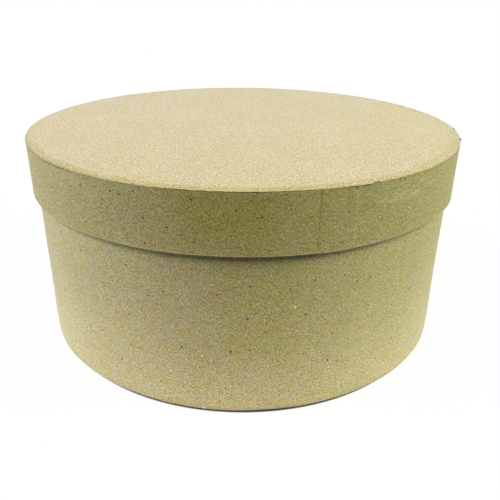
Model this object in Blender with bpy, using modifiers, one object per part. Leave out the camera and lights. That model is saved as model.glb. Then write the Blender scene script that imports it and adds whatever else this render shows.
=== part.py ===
"""A round papier-mache box with a lift-off lid, modelled layer by layer as it is made.

Two hoops of wound board, one for the box and one for the lid, each hold a disc of board in one end.
Brown kraft paper then covers every face: a strip wrapped round each hoop and folded over its open
edge, a liner strip inside, and a disc of paper on each side of each board. The lid slips over the
mouth of the box and rests on it.

Units are metres and +Z is up. The origin is the middle of the box's underside, and -Y is the front,
where the lid's strip of paper laps over itself.
"""

from math import cos, pi, radians, sin, sqrt, tan
from typing import NamedTuple

import bmesh
import bpy
from mathutils import Matrix, Vector

MM = 0.001

# The whole box, as it stands
LID_RADIUS = 101.5 * MM
BOX_HEIGHT = 95.7 * MM
RIM_DEPTH = 24.3 * MM

# The stock it is made from
PAPER = 0.2 * MM
BOX_HOOP_WALL = 1.2 * MM
LID_HOOP_WALL = 0.85 * MM
BASE_BOARD_THICKNESS = 2.0 * MM
LID_BOARD_THICKNESS = 1.5 * MM

# Clearances: between glued faces, between paper edges that meet, and between the lid and the box
GLUE_GAP = 0.2 * MM
EDGE_GAP = 0.3 * MM
LID_CLEARANCE = 0.7 * MM
LID_SEAT_GAP = 0.3 * MM

# How the paper is folded and cut
FOLD_RADIUS = 0.4 * MM
BOX_TURN_IN = 15.0 * MM
BOX_TURN_UNDER = 10.0 * MM
LID_TURN_IN = 12.0 * MM
BASE_PAPER_INSET = 2.5 * MM

# The top of the lid falls away a little at its edge, along an arc this wide and this deep
SHOULDER_WIDTH = 2.5 * MM
SHOULDER_DROP = 0.5 * MM

# Each wrapping strip ends in a lap over its own start: where it begins, as an angle from +X,
# how far round it goes, and how far it stops short of the strip's edges
LID_LAP_ANGLE = radians(-75)
BOX_LAP_ANGLE = radians(112)
LAP_LENGTH = 13.0 * MM
LAP_INSET = 0.4 * MM

# How finely the round pieces are cut up
RING_FACETS = 96
LAP_FACETS = 2
FOLD_STEPS = 2
SHOULDER_STEPS = 3
MERGE_DISTANCE = 0.005 * MM
SHARP_ANGLE = radians(50)

# Heights of the box's layers, from the table up
BASE_PAPER_TOP = PAPER
UNDERFOLD_TOP = BASE_PAPER_TOP + GLUE_GAP + PAPER
BOX_BOARD_BOTTOM = UNDERFOLD_TOP + GLUE_GAP
BASE_BOARD_TOP = BOX_BOARD_BOTTOM + BASE_BOARD_THICKNESS
BOX_LINING_BOTTOM = BASE_BOARD_TOP + GLUE_GAP

# Heights of the lid's layers above its own lower edge, from the top down
LID_BOARD_TOP = RIM_DEPTH - PAPER - GLUE_GAP
LID_BOARD_BOTTOM = LID_BOARD_TOP - LID_BOARD_THICKNESS
LID_LINING_TOP = LID_BOARD_BOTTOM - GLUE_GAP
LID_WRAP_TOP = RIM_DEPTH - SHOULDER_DROP - PAPER - EDGE_GAP
LID_HOOP_BOTTOM = PAPER + GLUE_GAP

# The lid's lower edge, and the mouth of the box that the lid rests on
LID_BASE = BOX_HEIGHT - RIM_DEPTH
BOX_MOUTH = LID_BASE + LID_LINING_TOP - PAPER - LID_SEAT_GAP
BOX_HOOP_TOP = BOX_MOUTH - PAPER - GLUE_GAP

# Radii, from the lid's outer face inwards
LID_HOOP_RADIUS = LID_RADIUS - PAPER - GLUE_GAP
LID_HOOP_BORE = LID_HOOP_RADIUS - LID_HOOP_WALL
LID_LINER_RADIUS = LID_HOOP_BORE - GLUE_GAP
LID_BORE = LID_LINER_RADIUS - PAPER
BOX_RADIUS = LID_BORE - LID_CLEARANCE
BOX_HOOP_RADIUS = BOX_RADIUS - PAPER - GLUE_GAP
BOX_HOOP_BORE = BOX_HOOP_RADIUS - BOX_HOOP_WALL
BOX_LINER_RADIUS = BOX_HOOP_BORE - GLUE_GAP
BOX_BORE = BOX_LINER_RADIUS - PAPER


class Finish(NamedTuple):
    """A matt finish: its colour, as linear red, green and blue, and its roughness."""

    colour: tuple
    roughness: float


KRAFT = Finish(colour=(0.60, 0.51, 0.31), roughness=0.85)
KRAFT_LINING = Finish(colour=(0.55, 0.46, 0.28), roughness=0.85)
BARE_BOARD = Finish(colour=(0.42, 0.37, 0.30), roughness=0.92)


def clear_scene():
    """Remove every object of the open scene."""
    for obj in list(bpy.data.objects):
        bpy.data.objects.remove(obj, do_unlink=True)


def new_collection(name):
    """Return a new collection in the scene."""
    collection = bpy.data.collections.new(name)
    bpy.context.scene.collection.children.link(collection)
    return collection


def new_empty(collection, name, height):
    """Return an empty on the Z axis, which carries the pieces that stay together."""
    empty = bpy.data.objects.new(name, None)
    empty.location = (0, 0, height)
    collection.objects.link(empty)
    return empty


def new_material(name, finish):
    """Return a matt material with a finish's colour and roughness."""
    material = bpy.data.materials.new(name)
    material.use_nodes = True
    shader = material.node_tree.nodes["Principled BSDF"]
    shader.inputs["Base Color"].default_value = (*finish.colour, 1)
    shader.inputs["Roughness"].default_value = finish.roughness
    shader.inputs["Metallic"].default_value = 0
    return material


# Outlines, as (radius, height) points


def top_fall(radius):
    """Return how far the top of the lid has fallen at a radius: nothing, then an arc to the edge."""
    past = max(0, radius - (LID_RADIUS - SHOULDER_WIDTH))
    arc_radius = (SHOULDER_WIDTH**2 + SHOULDER_DROP**2) / (2 * SHOULDER_DROP)
    return arc_radius - sqrt(arc_radius**2 - past**2)


def shoulder_radii(outer):
    """Return the radii of the points along the lid's shoulder, as far out as one of its pieces goes."""
    start = LID_RADIUS - SHOULDER_WIDTH
    steps = [start + SHOULDER_WIDTH * step / SHOULDER_STEPS for step in range(SHOULDER_STEPS)]
    return [radius for radius in steps if radius < outer] + [outer]


def folded_path(corners):
    """Return the middle line of a sheet of paper that bends at each inner corner."""
    corners = [Vector(corner) for corner in corners]
    points = corners[:1]
    for before, corner, after in zip(corners, corners[1:], corners[2:]):
        back = (before - corner).normalized()
        ahead = (after - corner).normalized()
        half_angle = back.angle(ahead) / 2
        centre = corner + (back + ahead).normalized() * FOLD_RADIUS / sin(half_angle)
        first = (corner + back * FOLD_RADIUS / tan(half_angle) - centre).normalized()
        last = (corner + ahead * FOLD_RADIUS / tan(half_angle) - centre).normalized()
        for step in range(FOLD_STEPS + 1):
            points.append(centre + first.slerp(last, step / FOLD_STEPS) * FOLD_RADIUS)
    return points + corners[-1:]


def beside_path(points, distance):
    """Return the path moved sideways by a distance, with mitred corners."""
    moved = []
    for i, point in enumerate(points):
        before = points[max(i - 1, 0)]
        after = points[min(i + 1, len(points) - 1)]
        arriving = (point - before if i else after - point).normalized()
        leaving = (after - point if i < len(points) - 1 else point - before).normalized()
        sideways = Vector((arriving.y + leaving.y, -arriving.x - leaving.x))
        moved.append(point + sideways * distance / (1 + arriving.dot(leaving)))
    return moved


def folded_paper_outline(corners):
    """Return the closed outline of a sheet of paper whose middle line bends at the inner corners."""
    path = folded_path(corners)
    return beside_path(path, PAPER / 2) + beside_path(path, -PAPER / 2)[::-1]


def hoop_outline(bore, radius, bottom, top):
    """Return the closed outline of a plain hoop's wall."""
    return [(radius, top), (radius, bottom), (bore, bottom), (bore, top)]


# Solids


def keep_evaluated(obj):
    """Replace the object's mesh with the one its modifiers make, shaded smooth between sharp edges."""
    view_layer = bpy.context.view_layer
    view_layer.update()
    evaluated = obj.evaluated_get(view_layer.depsgraph)
    mesh = bpy.data.meshes.new_from_object(evaluated)
    obj.modifiers.clear()
    obj.data = mesh
    mesh.shade_smooth()
    mesh.set_sharp_from_angle(angle=SHARP_ANGLE)


def signed_area(outline):
    """Return the area inside an outline, which is negative if it runs clockwise."""
    ends = zip(outline, [*outline[1:], outline[0]])
    return sum(x1 * y2 - x2 * y1 for (x1, y1), (x2, y2) in ends) / 2


def turned(collection, name, outline, closed):
    """Return an object turned once round the Z axis from an outline, closed or open at the axis."""
    points = outline if signed_area(outline) < 0 else outline[::-1]
    edges = [(i, i + 1) for i in range(len(points) - 1)]
    if closed:
        edges.append((len(points) - 1, 0))
    mesh = bpy.data.meshes.new(name)
    mesh.from_pydata([(radius, 0, height) for radius, height in points], edges, [])
    obj = bpy.data.objects.new(name, mesh)
    collection.objects.link(obj)
    screw = obj.modifiers.new("Turn", "SCREW")
    screw.axis = "Z"
    screw.angle = 2 * pi
    screw.steps = RING_FACETS
    screw.render_steps = RING_FACETS
    screw.use_merge_vertices = True
    screw.merge_threshold = MERGE_DISTANCE
    return obj


def disc(collection, name, radius, bottom, thickness):
    """Return a flat disc on the Z axis."""
    mesh = bpy.data.meshes.new(name)
    bm = bmesh.new()
    bmesh.ops.create_cone(
        bm,
        cap_ends=True,
        segments=RING_FACETS,
        radius1=radius,
        radius2=radius,
        depth=thickness,
        matrix=Matrix.Translation((0, 0, thickness / 2)),
    )
    bm.to_mesh(mesh)
    bm.free()
    obj = bpy.data.objects.new(name, mesh)
    obj.location.z = bottom
    collection.objects.link(obj)
    return obj


def lap_band(cutters, name, radius, bottom, top, start):
    """Return the band, one sheet thick, that a strip's end makes where it lies over its start."""
    mesh = bpy.data.meshes.new(name)
    bm = bmesh.new()
    section = hoop_outline(radius - PAPER / 2, radius + PAPER, bottom, top)
    corners = [bm.verts.new((r * cos(start), r * sin(start), z)) for r, z in section]
    face = bm.faces.new(corners)
    bmesh.ops.spin(
        bm,
        geom=[*corners, *face.edges, face],
        cent=(0, 0, 0),
        axis=(0, 0, 1),
        angle=LAP_LENGTH / radius,
        steps=LAP_FACETS,
        use_duplicate=False,
    )
    bmesh.ops.recalc_face_normals(bm, faces=bm.faces)
    bm.to_mesh(mesh)
    bm.free()
    obj = bpy.data.objects.new(name, mesh)
    obj.hide_render = True
    obj.display_type = "WIRE"
    cutters.objects.link(obj)
    return obj


def join_lap(wrap, band):
    """Join a strip and the band where it laps over itself into one solid."""
    union = wrap.modifiers.new("Lap", "BOOLEAN")
    union.operation = "UNION"
    union.solver = "EXACT"
    union.object = band


def finish_piece(obj, carrier, finish):
    """Settle a piece's mesh, give it its material, and hang it on the empty that carries it."""
    keep_evaluated(obj)
    obj.data.materials.append(new_material(f"{obj.name}_finish", finish))
    obj.parent = carrier


# The pieces of the box


def make_box_hoop(parts, carrier):
    """The wall of the box: board wound into a hoop."""
    outline = hoop_outline(BOX_HOOP_BORE, BOX_HOOP_RADIUS, BOX_BOARD_BOTTOM, BOX_HOOP_TOP)
    hoop = turned(parts, "box_hoop", outline, closed=True)
    finish_piece(hoop, carrier, BARE_BOARD)


def make_base_board(parts, carrier):
    """The disc of board that is glued into the bottom of the hoop."""
    board = disc(parts, "base_board", BOX_HOOP_BORE - GLUE_GAP, BOX_BOARD_BOTTOM, BASE_BOARD_THICKNESS)
    finish_piece(board, carrier, BARE_BOARD)


def make_box_wrap(parts, cutters, carrier):
    """The strip of paper round the box, turned under the base and folded in over the mouth."""
    outer = BOX_RADIUS - PAPER / 2
    inner = BOX_BORE + PAPER / 2
    under = UNDERFOLD_TOP - PAPER / 2
    mouth = BOX_MOUTH - PAPER / 2
    corners = [
        (BOX_RADIUS - BOX_TURN_UNDER, under),
        (outer, under),
        (outer, mouth),
        (inner, mouth),
        (inner, BOX_MOUTH - BOX_TURN_IN),
    ]
    wrap = turned(parts, "box_wrap", folded_paper_outline(corners), closed=True)
    bottom = under + FOLD_RADIUS + LAP_INSET
    top = mouth - FOLD_RADIUS - LAP_INSET
    join_lap(wrap, lap_band(cutters, "box_wrap_lap", BOX_RADIUS, bottom, top, BOX_LAP_ANGLE))
    finish_piece(wrap, carrier, KRAFT)


def make_box_liner(parts, carrier):
    """The strip of paper on the inside of the wall, from the base up to the edge of the fold."""
    top = BOX_MOUTH - BOX_TURN_IN - EDGE_GAP
    outline = hoop_outline(BOX_BORE, BOX_LINER_RADIUS, BOX_LINING_BOTTOM, top)
    liner = turned(parts, "box_liner", outline, closed=True)
    finish_piece(liner, carrier, KRAFT_LINING)


def make_base_inner_paper(parts, carrier):
    """The disc of paper on the floor of the box."""
    sheet = disc(parts, "base_inner_paper", BOX_BORE - EDGE_GAP, BOX_LINING_BOTTOM, PAPER)
    finish_piece(sheet, carrier, KRAFT_LINING)


def make_base_outer_paper(parts, carrier):
    """The disc of paper under the base, over the wrap's turned edge. The box stands on it."""
    sheet = disc(parts, "base_outer_paper", BOX_RADIUS - BASE_PAPER_INSET, 0, BASE_PAPER_TOP)
    finish_piece(sheet, carrier, KRAFT)


# The pieces of the lid


def make_lid_hoop(parts, carrier):
    """The wall of the lid: a narrow hoop whose top edge follows the fall of the lid's top."""
    outline = [
        (LID_HOOP_RADIUS, LID_BOARD_TOP - top_fall(LID_HOOP_RADIUS)),
        (LID_HOOP_RADIUS, LID_HOOP_BOTTOM),
        (LID_HOOP_BORE, LID_HOOP_BOTTOM),
        (LID_HOOP_BORE, LID_BOARD_TOP - top_fall(LID_HOOP_BORE)),
    ]
    hoop = turned(parts, "lid_hoop", outline, closed=True)
    finish_piece(hoop, carrier, BARE_BOARD)


def make_lid_board(parts, carrier):
    """The disc of board that is glued into the top of the lid's hoop, eased at its upper edge."""
    outer = LID_HOOP_BORE - GLUE_GAP
    eased = [(radius, LID_BOARD_TOP - top_fall(radius)) for radius in shoulder_radii(outer)]
    outline = [(0, LID_BOARD_TOP), *eased, (outer, LID_BOARD_BOTTOM), (0, LID_BOARD_BOTTOM)]
    board = turned(parts, "lid_board", outline, closed=False)
    finish_piece(board, carrier, BARE_BOARD)


def make_lid_top_paper(parts, carrier):
    """The disc of paper on top of the lid, cut flush with the rim and pressed down at its edge."""
    edge = [(radius, RIM_DEPTH - top_fall(radius)) for radius in shoulder_radii(LID_RADIUS)]
    under = [(radius, height - PAPER) for radius, height in edge]
    outline = [(0, RIM_DEPTH), *edge, *under[::-1], (0, RIM_DEPTH - PAPER)]
    sheet = turned(parts, "lid_top_paper", outline, closed=False)
    finish_piece(sheet, carrier, KRAFT)


def make_lid_wrap(parts, cutters, carrier):
    """The strip of paper round the lid, from under the top's edge down and folded in below."""
    outer = LID_RADIUS - PAPER / 2
    inner = LID_BORE + PAPER / 2
    bottom = PAPER / 2
    corners = [(outer, LID_WRAP_TOP), (outer, bottom), (inner, bottom), (inner, LID_TURN_IN)]
    wrap = turned(parts, "lid_wrap", folded_paper_outline(corners), closed=True)
    lap_bottom = bottom + FOLD_RADIUS + LAP_INSET
    lap_top = LID_WRAP_TOP - LAP_INSET
    band = lap_band(cutters, "lid_wrap_lap", LID_RADIUS, lap_bottom, lap_top, LID_LAP_ANGLE)
    join_lap(wrap, band)
    finish_piece(wrap, carrier, KRAFT)


def make_lid_liner(parts, carrier):
    """The strip of paper on the inside of the lid's wall, above the edge of the fold."""
    bottom = LID_TURN_IN + EDGE_GAP
    outline = hoop_outline(LID_BORE, LID_LINER_RADIUS, bottom, LID_LINING_TOP)
    liner = turned(parts, "lid_liner", outline, closed=True)
    finish_piece(liner, carrier, KRAFT_LINING)


def make_lid_inner_paper(parts, carrier):
    """The disc of paper on the underside of the lid's board, which rests on the mouth of the box."""
    sheet = disc(parts, "lid_inner_paper", LID_BORE - EDGE_GAP, LID_LINING_TOP - PAPER, PAPER)
    finish_piece(sheet, carrier, KRAFT_LINING)


def main():
    """Build the box and its lid."""
    clear_scene()
    parts = new_collection("papier_mache_box")
    cutters = new_collection("cutters")

    box = new_empty(parts, "box", 0)
    make_box_hoop(parts, box)
    make_base_board(parts, box)
    make_box_wrap(parts, cutters, box)
    make_box_liner(parts, box)
    make_base_inner_paper(parts, box)
    make_base_outer_paper(parts, box)

    # The lid lifts off along the Z axis, which this empty stands on
    lid = new_empty(parts, "lid_lift", LID_BASE)
    make_lid_hoop(parts, lid)
    make_lid_board(parts, lid)
    make_lid_top_paper(parts, lid)
    make_lid_wrap(parts, cutters, lid)
    make_lid_liner(parts, lid)
    make_lid_inner_paper(parts, lid)


main()
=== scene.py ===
"""A round papier-mache box with its lid on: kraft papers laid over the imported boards, a studio and a camera.

Lengths are in metres. Angles are in degrees from +X towards +Y. A sheet is worked out on a grid of two
parameters, the angle round the box and the run along the sheet's own section.
"""

import logging
import math
from collections.abc import Sequence
from dataclasses import dataclass, field
from enum import Enum, IntEnum

import bpy
import numpy as np
from mathutils import Matrix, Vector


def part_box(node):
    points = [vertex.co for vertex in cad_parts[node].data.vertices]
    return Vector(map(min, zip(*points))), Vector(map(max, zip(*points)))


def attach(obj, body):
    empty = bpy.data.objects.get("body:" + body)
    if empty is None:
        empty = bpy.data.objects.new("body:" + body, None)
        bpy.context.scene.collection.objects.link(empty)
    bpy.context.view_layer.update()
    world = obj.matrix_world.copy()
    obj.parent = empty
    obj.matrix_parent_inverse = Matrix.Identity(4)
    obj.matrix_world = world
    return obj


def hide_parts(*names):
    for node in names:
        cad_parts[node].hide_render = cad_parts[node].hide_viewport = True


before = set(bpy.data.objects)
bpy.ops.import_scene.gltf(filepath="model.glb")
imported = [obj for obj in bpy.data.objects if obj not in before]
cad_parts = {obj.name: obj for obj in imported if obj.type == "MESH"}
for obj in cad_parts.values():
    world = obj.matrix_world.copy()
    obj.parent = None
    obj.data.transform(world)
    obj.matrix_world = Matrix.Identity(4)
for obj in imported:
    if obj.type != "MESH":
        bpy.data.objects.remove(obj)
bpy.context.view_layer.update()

LOG = logging.getLogger("papier_mache_box")
MM = 0.001
FULL_TURN = 360.0
PLACE = "sheet_place"
# Wear and handling; on the top's shoulder this mark also stands for painted shade.
WEAR_AND_SHADE = "rubbed"
# Glue and soiling, together with painted shade: under the lid's rim, in the slot below the top sheet, at the
# laps' cuts, along the top sheet's cut edge and on the bottom fold.
GRIME_AND_SHADE = "grime_and_shade"
# Painted shade at the front: darker and yellower.
FRONT_SHADE = "front_shade"

# The angle past which an edge shows as sharp, on a strip and on a disc.
STRIP_SHARP = 38.0
DISC_SHARP = 50.0
# Points on a fold's arc, both ends among them; the hidden face's pace; steps in which angles are found.
ARC_POINTS = 9
HIDDEN_EVERY = 5
PROBES = 24001

Colour = tuple[float, float, float]
Point = tuple[float, float, float]
Array = np.ndarray
Socket = bpy.types.NodeSocket


class Body(Enum):
    """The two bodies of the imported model."""

    BOX = "box"
    LID = "lid"


class Slot(Enum):
    """The record's material slots."""

    TOP = "kraft_top"
    WRAP = "kraft_wrap"
    LINING = "kraft_lining"
    BASE = "kraft_base"
    BOARD = "wound_board"


class Seed(IntEnum):
    """The seed of each set of random waves. A lining takes the next number too, for its edges."""

    TOP_WAVES = 5
    TOP_CUT = 7
    TOP_FRAY = 8
    TOP_WEAR = 9
    TOP_HANDS = 10
    RIM_WAVES = 11
    RIM_LIP = 12
    RIM_WEAR = 13
    LID_LINER = 21
    CEILING = 23
    BOX_LINER = 25
    FLOOR = 27
    BASE = 29
    SIDE_WAVES = 31
    SIDE_SWELL = 32
    SIDE_WEAR = 34
    SLOT = 41


class Face(Enum):
    """Which way the shown face of a round sheet looks."""

    UP = "up"
    DOWN = "down"


def smooth(value: Array) -> Array:
    """Rises from 0 to 1 as the value goes from 0 to 1, by the cubic 3·v² − 2·v³, level at both ends.

    Args:
        value: where the step is, any shape.

    Returns:
        The eased value, same shape.
    """
    v = np.clip(value, 0.0, 1.0)
    return v * v * (3.0 - 2.0 * v)


def turn_from(angle: Array, centre: float) -> Array:
    """The signed angle from the centre, between −180 and 180 degrees.

    Args:
        angle: angles in degrees.
        centre: the angle that counts as none.

    Returns:
        The differences in degrees.
    """
    return (angle - centre + 180.0) % FULL_TURN - 180.0


def hump(distance: Array, width: float) -> Array:
    """Falls from 1 to both sides: exp(−(distance / width)²)."""
    return np.exp(-((distance / width) ** 2))


@dataclass(frozen=True)
class Span:
    """A stretch of the way round, in degrees: first and last angle, and the width of the step at each."""

    first: float
    last: float
    ease: float

    def at(self, angle: Array) -> Array:
        """One inside the span and none outside it, with an eased step at each end.

        Args:
            angle: angles in degrees.

        Returns:
            Values between 0 and 1.
        """
        middle = 0.5 * (self.first + self.last)
        half = 0.5 * (self.last - self.first)
        return smooth((half - np.abs(turn_from(angle, middle))) / self.ease + 0.5)


@dataclass(frozen=True)
class Waves:
    """The slow rise and fall of paper that was glued down damp, or the fine unevenness of a cut edge.

    The height is a sum of cosines with random directions, phases and shares. It is squeezed by tanh,
    so that it never passes the depth.
    """

    seed: int
    depth: float
    turns: tuple[int, int] = (2, 14)
    lengths: tuple[float, float] = (0.03, 0.12)
    count: int = 20

    def _squeeze(self, waves: Array, shares: Array) -> Array:
        """Depth · tanh(total / (1.7 · its usual size)), the total being each wave times its share."""
        return self.depth * np.tanh(waves @ shares / (1.7 * math.sqrt(float((shares**2).sum()) / 2.0)))

    def round_about(self, angle: Array, run: Array) -> Array:
        """Height on a strip. Each wave is cos(n · angle + k · run + phase), n whole, so it meets itself.

        Args:
            angle: angles in degrees.
            run: lengths along the section, of a shape that fits the angles.

        Returns:
            Heights within the depth.
        """
        rng = np.random.default_rng(self.seed)
        whole = rng.integers(self.turns[0], self.turns[1] + 1, self.count)
        along = math.tau / rng.uniform(*self.lengths, self.count) * rng.choice([-1.0, 1.0], self.count)
        phase = rng.uniform(0.0, math.tau, self.count)
        shares = rng.uniform(0.4, 1.0, self.count)
        angle, run = np.broadcast_arrays(np.radians(angle), run)
        return self._squeeze(np.cos(angle[..., None] * whole + run[..., None] * along + phase), shares)

    def along_edge(self, angle: Array) -> Array:
        """Height along an edge, where nothing changes across the sheet."""
        return self.round_about(angle, np.zeros_like(angle))

    def patches(self, angle: Array) -> Array:
        """Values between 0 and 1 along an edge, from waves of depth 1."""
        return 0.5 + 0.5 * self.along_edge(angle)

    def across(self, x: Array, y: Array) -> Array:
        """Height on a round sheet. Each wave is cos(kx · x + ky · y + phase) in a random direction.

        Args:
            x: places along X.
            y: places along Y, same shape.

        Returns:
            Heights within the depth.
        """
        rng = np.random.default_rng(self.seed)
        heading = rng.uniform(0.0, math.tau, self.count)
        pace = math.tau / rng.uniform(*self.lengths, self.count)
        phase = rng.uniform(0.0, math.tau, self.count)
        shares = rng.uniform(0.4, 1.0, self.count)
        ahead, aside = pace * np.cos(heading), pace * np.sin(heading)
        return self._squeeze(np.cos(x[..., None] * ahead + y[..., None] * aside + phase), shares)


@dataclass(frozen=True)
class Spot:
    """A small mark on a strip: strength · exp(−(turn / reach)² − (rise / height)²)."""

    angle: float
    height: float
    reach: float
    rise: float
    strength: float

    def at(self, angle: Array, height: Array) -> Array:
        """The mark's strength at each place.

        Args:
            angle: angles in degrees.
            height: heights in metres, of a shape that fits the angles.

        Returns:
            Strengths.
        """
        turned = turn_from(angle, self.angle) / self.reach
        risen = (height - self.height) / self.rise
        return self.strength * np.exp(-turned**2 - risen**2)


@dataclass(frozen=True)
class Section:
    """A sheet's middle line in the plane of radius and height, with unit normals away from the board.

    Attributes:
        points: the line's points, one row each.
        normals: the unit normals, one row each.
        hidden: the indices of the points that the hidden face uses, a few of them.
    """

    points: Array
    normals: Array
    hidden: Array

    @property
    def run(self) -> Array:
        """The length along the line from its first point to each point."""
        steps = np.linalg.norm(np.diff(self.points, axis=0), axis=1)
        return np.concatenate(([0.0], np.cumsum(steps)))

    def outside(self, radius: float) -> Array:
        """One where the line is outside that radius and none within it, with a step of half a millimetre."""
        return smooth((self.points[:, 0] - radius) / (0.5 * MM))[None]

    @property
    def tangents(self) -> Array:
        """The unit directions along the line, which are the normals turned by −90 degrees."""
        return np.stack((self.normals[:, 1], -self.normals[:, 0]), axis=1)

    @classmethod
    def bent(cls, corners: Sequence[tuple[float, float]], bend: float, paces: Sequence[float]) -> "Section":
        """Carries the line through corners and rounds each one with an arc.

        An arc of radius b leaves each leg b · tan(turn / 2) before the corner. Its points are the start
        point turned about the centre, and its directions turn alike.

        Args:
            corners: the corners, from end to end, as radius and height.
            bend: the radius of every arc.
            paces: the distance between points on each leg.

        Returns:
            The section.
        """
        corner = np.array(corners, float)
        leg = np.diff(corner, axis=0)
        ahead = leg / np.linalg.norm(leg, axis=1)[:, None]
        cross = ahead[:-1, 0] * ahead[1:, 1] - ahead[:-1, 1] * ahead[1:, 0]
        turn = np.arctan2(cross, (ahead[:-1] * ahead[1:]).sum(1))
        cut = np.concatenate(([0.0], bend * np.tan(np.abs(turn) / 2.0), [0.0]))
        points, headings, keep = [], [], []
        for i, pace in enumerate(paces):
            start = corner[i] + ahead[i] * cut[i]
            end = corner[i + 1] - ahead[i] * cut[i + 1]
            steps = max(2, round(float(np.linalg.norm(end - start)) / pace))
            share = np.linspace(0.0, 1.0, steps + 1)[:, None]
            points.append(start + (end - start) * share)
            headings.append(np.repeat(ahead[i][None], steps + 1, axis=0))
            kept = np.zeros(steps + 1, bool)
            kept[::HIDDEN_EVERY] = True
            kept[-1] = True
            keep.append(kept)
            if i < len(turn):
                swing = np.linspace(0.0, turn[i], ARC_POINTS)[1:-1]
                cos, sin = np.cos(swing), np.sin(swing)
                spin = np.stack((cos, -sin, sin, cos), 1).reshape(-1, 2, 2)
                side = math.copysign(bend, turn[i]) * np.array((-ahead[i][1], ahead[i][0]))
                points.append(end + side + spin @ -side)
                headings.append(spin @ ahead[i])
                keep.append(np.ones(len(swing), bool))
        heading = np.concatenate(headings)
        normals = np.stack((-heading[:, 1], heading[:, 0]), axis=1)
        return cls(np.concatenate(points), normals, np.flatnonzero(np.concatenate(keep)))


@dataclass(frozen=True)
class Surface:
    """A sheet's vertices, faces and marks, before they are put into a mesh."""

    vertices: Array
    faces: list[list[int]]
    marks: dict[str, Array]


def spaced_angles(
    start: float, span: float, pace: float, close: Sequence[tuple[float, float, float]] = ()
) -> Array:
    """Angles over a span, closer together round some of them.

    The number of steps in a degree is 1 / pace, and 1 / fine within the reach of a close place. The
    angles are where its running total passes whole numbers.

    Args:
        start: the first angle.
        span: how far they go.
        pace: the usual step in degrees.
        close: for each close place its centre, its reach and its fine step.

    Returns:
        The angles, both ends among them.
    """
    probe = np.linspace(start, start + span, PROBES)
    rate = np.full(probe.shape, 1.0 / pace)
    for centre, reach, fine in close:
        near = np.clip(2.0 - np.abs(turn_from(probe, centre)) / reach, 0.0, 1.0)
        rate = np.maximum(rate, (1.0 / pace) * (1.0 - near) + near / fine)
    total = np.concatenate(([0.0], np.cumsum(0.5 * (rate[1:] + rate[:-1]) * np.diff(probe))))
    count = round(float(total[-1]))
    return np.interp(np.linspace(0.0, total[-1], count + 1), total, probe)


def both_faces(section: Section, thickness: float, stand_off: Array, slide: Array) -> tuple[Array, Array]:
    """The front and the back of a sheet as radius and height, at each angle and point of the section.

    A point moves along its normal by the stand-off and along the line by the slide. The front is half a
    thickness further along the normal, and the back half a thickness less.

    Args:
        section: the middle line.
        thickness: the paper's thickness.
        stand_off: one value for each angle and point.
        slide: the same.

    Returns:
        The front, at each angle and point, and the back, at each angle and hidden point.
    """
    middle = section.points + section.normals * stand_off[..., None] + section.tangents * slide[..., None]
    half = 0.5 * thickness * section.normals
    return middle + half, (middle - half)[:, section.hidden]


def swept(outline: Array, angles: Array) -> Array:
    """Points of radius and height carried to their angles: (r · cos a, r · sin a, z).

    Args:
        outline: radius and height at each angle and point.
        angles: the angles in degrees.

    Returns:
        Places in space, same grid.
    """
    turn = np.radians(angles)[:, None]
    radius, height = outline[..., 0], outline[..., 1]
    return np.stack((radius * np.cos(turn), radius * np.sin(turn), height), axis=-1)


def marks_of(
    shape: tuple[int, ...], rubbed: Array | float, grime_and_shade: Array | float, front_shade: Array | float = 0.0
) -> dict[str, Array]:
    """The marks of a sheet, spread over its grid and kept between 0 and 1.

    Args:
        shape: the number of angles and of points.
        rubbed: where it is worn or handled.
        grime_and_shade: where glue, soiling and painted shade are.
        front_shade: where painted shade at the front darkens and yellows it.

    Returns:
        The three marks, at each angle and point, by name.
    """
    marks = {WEAR_AND_SHADE: rubbed, GRIME_AND_SHADE: grime_and_shade, FRONT_SHADE: front_shade}
    return {name: np.clip(np.zeros(shape) + mark, 0.0, 1.0) for name, mark in marks.items()}


def lapped_strip(
    section: Section,
    angles: Array,
    radius: float,
    thickness: float,
    stand_off: Array,
    slide: Array,
    marks: dict[str, Array],
) -> Surface:
    """A strip of paper carried round the box, its two ends cut and capped.

    The section's loop runs along the front and back along the hidden face. It is repeated at each angle,
    and neighbouring loops are joined by quads.

    Args:
        section: the strip's middle line.
        angles: the angles, from one cut end to the other.
        radius: the radius at which the strip's length is measured.
        thickness: the paper's thickness.
        stand_off: how far the strip stands off its section, at each angle and point.
        slide: how far it slides along its section, at each angle and point.
        marks: values at each angle and point, by name.

    Returns:
        The strip's surface.
    """
    front, back = both_faces(section, thickness, stand_off, slide)
    loop = np.concatenate((front, back[:, ::-1]), axis=1)
    rows, columns = loop.shape[:2]
    back_order = section.hidden[::-1]
    order = np.concatenate((np.arange(front.shape[1]), back_order))
    side = np.concatenate((np.full(front.shape[1], 0.5), np.full(len(back_order), -0.5))) * thickness
    along = np.radians(angles)[:, None] * radius
    place = np.stack(np.broadcast_arrays(along, section.run[order][None], side[None]), axis=-1)
    index = np.arange(rows * columns).reshape(rows, columns)
    across = np.roll(index, -1, axis=1)
    quads = np.stack((index[:-1], across[:-1], across[1:], index[1:]), axis=-1).reshape(-1, 4)
    behind = {int(point): len(order) - 1 - k for k, point in enumerate(section.hidden)}
    caps = []
    for first, last in zip(section.hidden[:-1].tolist(), section.hidden[1:].tolist()):
        cap = [*range(first, last + 1), behind[last], behind[first]]
        caps.append(index[-1, cap].tolist())
        caps.append(index[0, cap[::-1]].tolist())
    values = {PLACE: place.reshape(-1, 3)}
    values |= {name: mark[:, order].reshape(-1) for name, mark in marks.items()}
    return Surface(swept(loop, angles).reshape(-1, 3), quads.tolist() + caps, values)


def ring_quads(index: Array) -> list[list[int]]:
    """The quads between neighbouring rings of vertices.

    Args:
        index: the vertices' numbers, one closed ring to a row.

    Returns:
        The faces.
    """
    after = np.roll(index, -1, axis=1)
    return np.stack((index[:-1], index[1:], after[1:], after[:-1]), axis=-1).reshape(-1, 4).tolist()


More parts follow.
